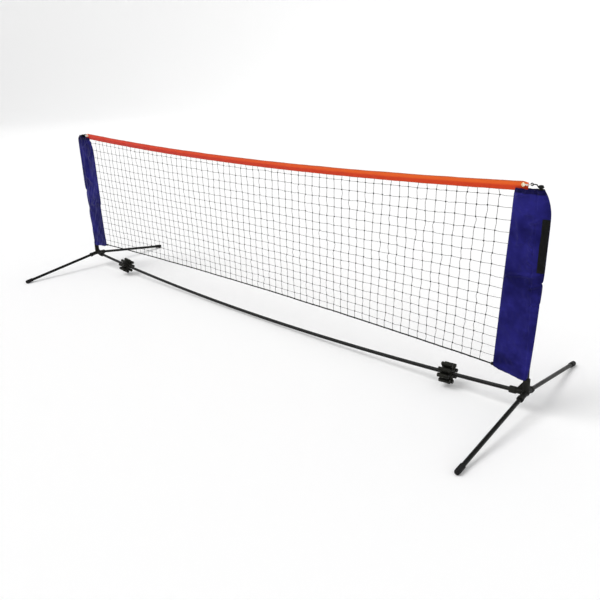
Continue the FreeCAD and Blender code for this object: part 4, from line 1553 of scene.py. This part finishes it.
# ---------------------------------------------------------------- studio
@dataclass
class Studio:
    """Pale floor that sweeps up all round, soft lights and the camera."""

    camera_place: tuple[float, float, float] = (2.24675, -2.05332, 1.25324)
    camera_yaw: float = math.radians(-42.735)
    camera_pitch: float = math.radians(-21.025)
    camera_roll: float = math.radians(-1.477)
    lens: float = 37.776
    sensor: float = 36.0
    floor_radius: float = 13.0
    wall_radius: float = 17.0
    wall_height: float = 8.0
    floor_sides: int = 96
    paint: tuple[float, float, float] = (0.99, 0.99, 0.99)
    sky_strength: float = 0.56
    # (name, strength, angular width, heading)
    lamps: tuple[tuple[str, float, float, tuple[float, float, float]], ...] = (
        ("key_lamp", 1.45, math.radians(34), (0.45, 0.42, -0.79)),
        ("fill_lamp", 0.75, math.radians(70), (-0.66, 0.72, -0.20)))

    def add_camera(self) -> None:
        """Place the camera."""
        yaw, pitch, roll = self.camera_yaw, self.camera_pitch, self.camera_roll
        forward = Vector((math.sin(yaw) * math.cos(pitch), math.cos(yaw) * math.cos(pitch),
                          math.sin(pitch)))
        level = forward.cross(Vector((0, 0, 1))).normalized()
        upright = level.cross(forward)
        right = math.cos(roll) * level + math.sin(roll) * upright
        up = math.cos(roll) * upright - math.sin(roll) * level
        data = bpy.data.cameras.new("camera")
        data.lens, data.sensor_width = self.lens, self.sensor
        data.clip_start, data.clip_end = 0.05, 100.0
        camera = bpy.data.objects.new("camera", data)
        bpy.context.scene.collection.objects.link(camera)
        turn = Matrix((right, up, -forward)).transposed().to_4x4()
        camera.matrix_world = Matrix.Translation(self.camera_place) @ turn
        bpy.context.scene.camera = camera

    def add_floor(self) -> None:
        """Make the floor: a wide shallow bowl with a plain pale surface."""
        angle = np.linspace(0, 2 * math.pi, self.floor_sides, endpoint=False)
        bend = np.linspace(0, math.pi / 2, 14)
        radius = np.concatenate([[0.001, 3.0, 8.0], self.floor_radius
                                 + (self.wall_radius - self.floor_radius) * np.sin(bend)])
        height = np.concatenate([[0, 0, 0], self.wall_height * (1 - np.cos(bend))])
        grid = np.stack([radius[:, None] * np.cos(angle), radius[:, None] * np.sin(angle),
                         height[:, None] + 0 * angle], -1)
        maker = MeshMaker()
        maker.add_grid(grid / MM, False, True)
        paint = Shader("pale_floor").dress(Base_Color=self.paint, Roughness=0.9, Specular_IOR_Level=0.0)
        maker.place("studio_floor", paint)

    def add_light(self) -> None:
        """Light the scene: an even sky, a far soft key lamp and a weaker, wider fill lamp."""
        world = bpy.data.worlds.new("studio_sky")
        world.use_nodes = True
        sky = world.node_tree.nodes["Background"]
        sky.inputs[0].default_value = (1.0, 1.0, 1.0, 1.0)
        sky.inputs[1].default_value = self.sky_strength
        bpy.context.scene.world = world
        for name, strength, width, heading in self.lamps:
            data = bpy.data.lights.new(name, "SUN")
            data.energy, data.angle = strength, width
            lamp = bpy.data.objects.new(name, data)
            bpy.context.scene.collection.objects.link(lamp)
            lamp.rotation_euler = Vector(heading).to_track_quat("-Z", "Y").to_euler()

    def build(self) -> None:
        """Set up floor, light and camera."""
        self.add_floor()
        self.add_light()
        self.add_camera()
        bpy.context.scene.view_settings.view_transform = "Standard"


# ---------------------------------------------------------------- the two sleeves' own shapes
def right_sleeve() -> Sleeve:
    """Shape of the sleeve on the right post: flat, with its closure strip in front.

    Returns:
        The sleeve, not yet built.
    """
    return Sleeve(
        side=1, name="right", seed=21,
        inner_edge=((1333, 151), (1337, 300), (1342, 500), (1348, 700), (1350, 795), (1353, 828)),
        outer_edge=((1473, 147), (1479, 300), (1481.5, 425), (1478.5, 432), (1483, 441),
                    (1484.5, 500), (1480, 512), (1485.5, 528), (1486, 640), (1485.5, 735),
                    (1480, 775), (1468, 808), (1455, 829)),
        bottom_edge=((1333, 151), (1362, 142.5), (1400, 139), (1448, 133.5), (1466, 138), (1473, 147)),
        top_edge=((1353, 828), (1380, 829), (1405, 828), (1430, 830), (1455, 829)),
        front=(Crease((1362, 801), (1403, 815), 2.0, 4.2), Crease((1418, 712), (1457, 731), 1.7, 4.8),
               Crease((1423, 585), (1448, 571), 1.1, 3.4), Crease((1428, 560), (1452, 562), 1.0, 3.4),
               Crease((1425, 607), (1446, 592), 0.9, 3.4), Crease((1371, 521), (1475, 538), 1.5, 5.4),
               Crease((1438, 486), (1479, 505), 1.7, 4.6), Crease((1459, 426), (1482, 434), 1.4, 3.6),
               Crease((1429, 822), (1440, 800), -1.3, 5.0), Crease((1453, 808), (1473, 790), 1.4, 5.0),
               Crease((1375, 735), (1392, 640), 1.2, 12.0), Crease((1374, 634), (1402, 644), 0.9, 6.0),
               Crease((1424, 627), (1447, 614), 0.9, 3.2), Crease((1421, 649), (1449, 634), 1.0, 3.4),
               Crease((1425, 668), (1447, 657), 0.8, 3.2), Crease((1362, 764), (1392, 752), 1.1, 4.5),
               Crease((1350, 512), (1372, 524), 1.3, 4.2), Crease((1392, 742), (1432, 748), 1.0, 4.0),
               Crease((1420, 700), (1405, 600), -1.0, 14.0)),
        back=(Crease((1360, 790), (1410, 760), 1.6, 7.0), Crease((1380, 520), (1450, 505), 1.4, 8.0),
              Crease((1400, 330), (1455, 350), 1.2, 9.0), Crease((1375, 650), (1395, 560), 1.0, 12.0)))


def left_sleeve() -> Sleeve:
    """Shape of the sleeve on the left post: pulled in at its top corner, its free edge turned.

    Returns:
        The sleeve, not yet built.
    """
    return Sleeve(
        side=-1, name="left", seed=33, curl=-6.5,
        inner_edge=((1337, 151), (1343, 230), (1346, 330), (1347, 408), (1339, 432), (1339, 520),
                    (1340, 640), (1342, 745), (1349, 778), (1362, 800), (1374, 812), (1366, 828)),
        outer_edge=((1475, 147), (1486, 300), (1487, 350), (1482, 385), (1485, 412), (1486, 470),
                    (1482, 496), (1488, 520), (1488, 640), (1489, 770), (1486, 815), (1470, 838)),
        bottom_edge=((1337, 151), (1362, 143.5), (1400, 141), (1448, 137), (1466, 141), (1475, 147)),
        top_edge=((1366, 828), (1400, 829), (1424, 831), (1440, 840), (1455, 843), (1470, 838)),
        front=(Crease((1372, 800), (1430, 770), 1.5, 7.0), Crease((1352, 745), (1400, 700), 1.3, 8.0),
               Crease((1400, 560), (1450, 590), 1.2, 9.0), Crease((1365, 430), (1440, 410), 1.2, 9.0),
               Crease((1420, 700), (1405, 600), -1.0, 14.0)),
        back=(Crease((1362, 790), (1403, 810), 1.5, 6.0), Crease((1418, 712), (1457, 731), 1.4, 6.0),
              Crease((1371, 521), (1475, 538), 1.2, 7.0), Crease((1438, 430), (1479, 440), 1.2, 6.0)))


def main() -> None:
    """Load the frame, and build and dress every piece."""
    logging.basicConfig(level=logging.INFO, format="%(name)s: %(message)s")
    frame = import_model()
    Studio().build()
    LOG.info("studio ready")
    LOG.info("%d CAD nodes dressed", TubeFrame().dress(frame["nodes"]))
    LOG.info("made %s", Netting().build().name)
    LOG.info("made %s", BottomCord().build().name)
    for piece in TopBand().build():
        LOG.info("made %s", piece.name)
    for sleeve, layer in ((left_sleeve(), 1), (right_sleeve(), -1)):
        LOG.info("made %s", sleeve.build().name)
        LOG.info("made %s", ClosureStrip(sleeve, layer).build().name)
    for side, name in ((-1, "left"), (1, "right")):
        for piece in CornerFittings(side, name).build():
            LOG.info("made %s", piece.name)


if __name__ == "__main__":
    main()
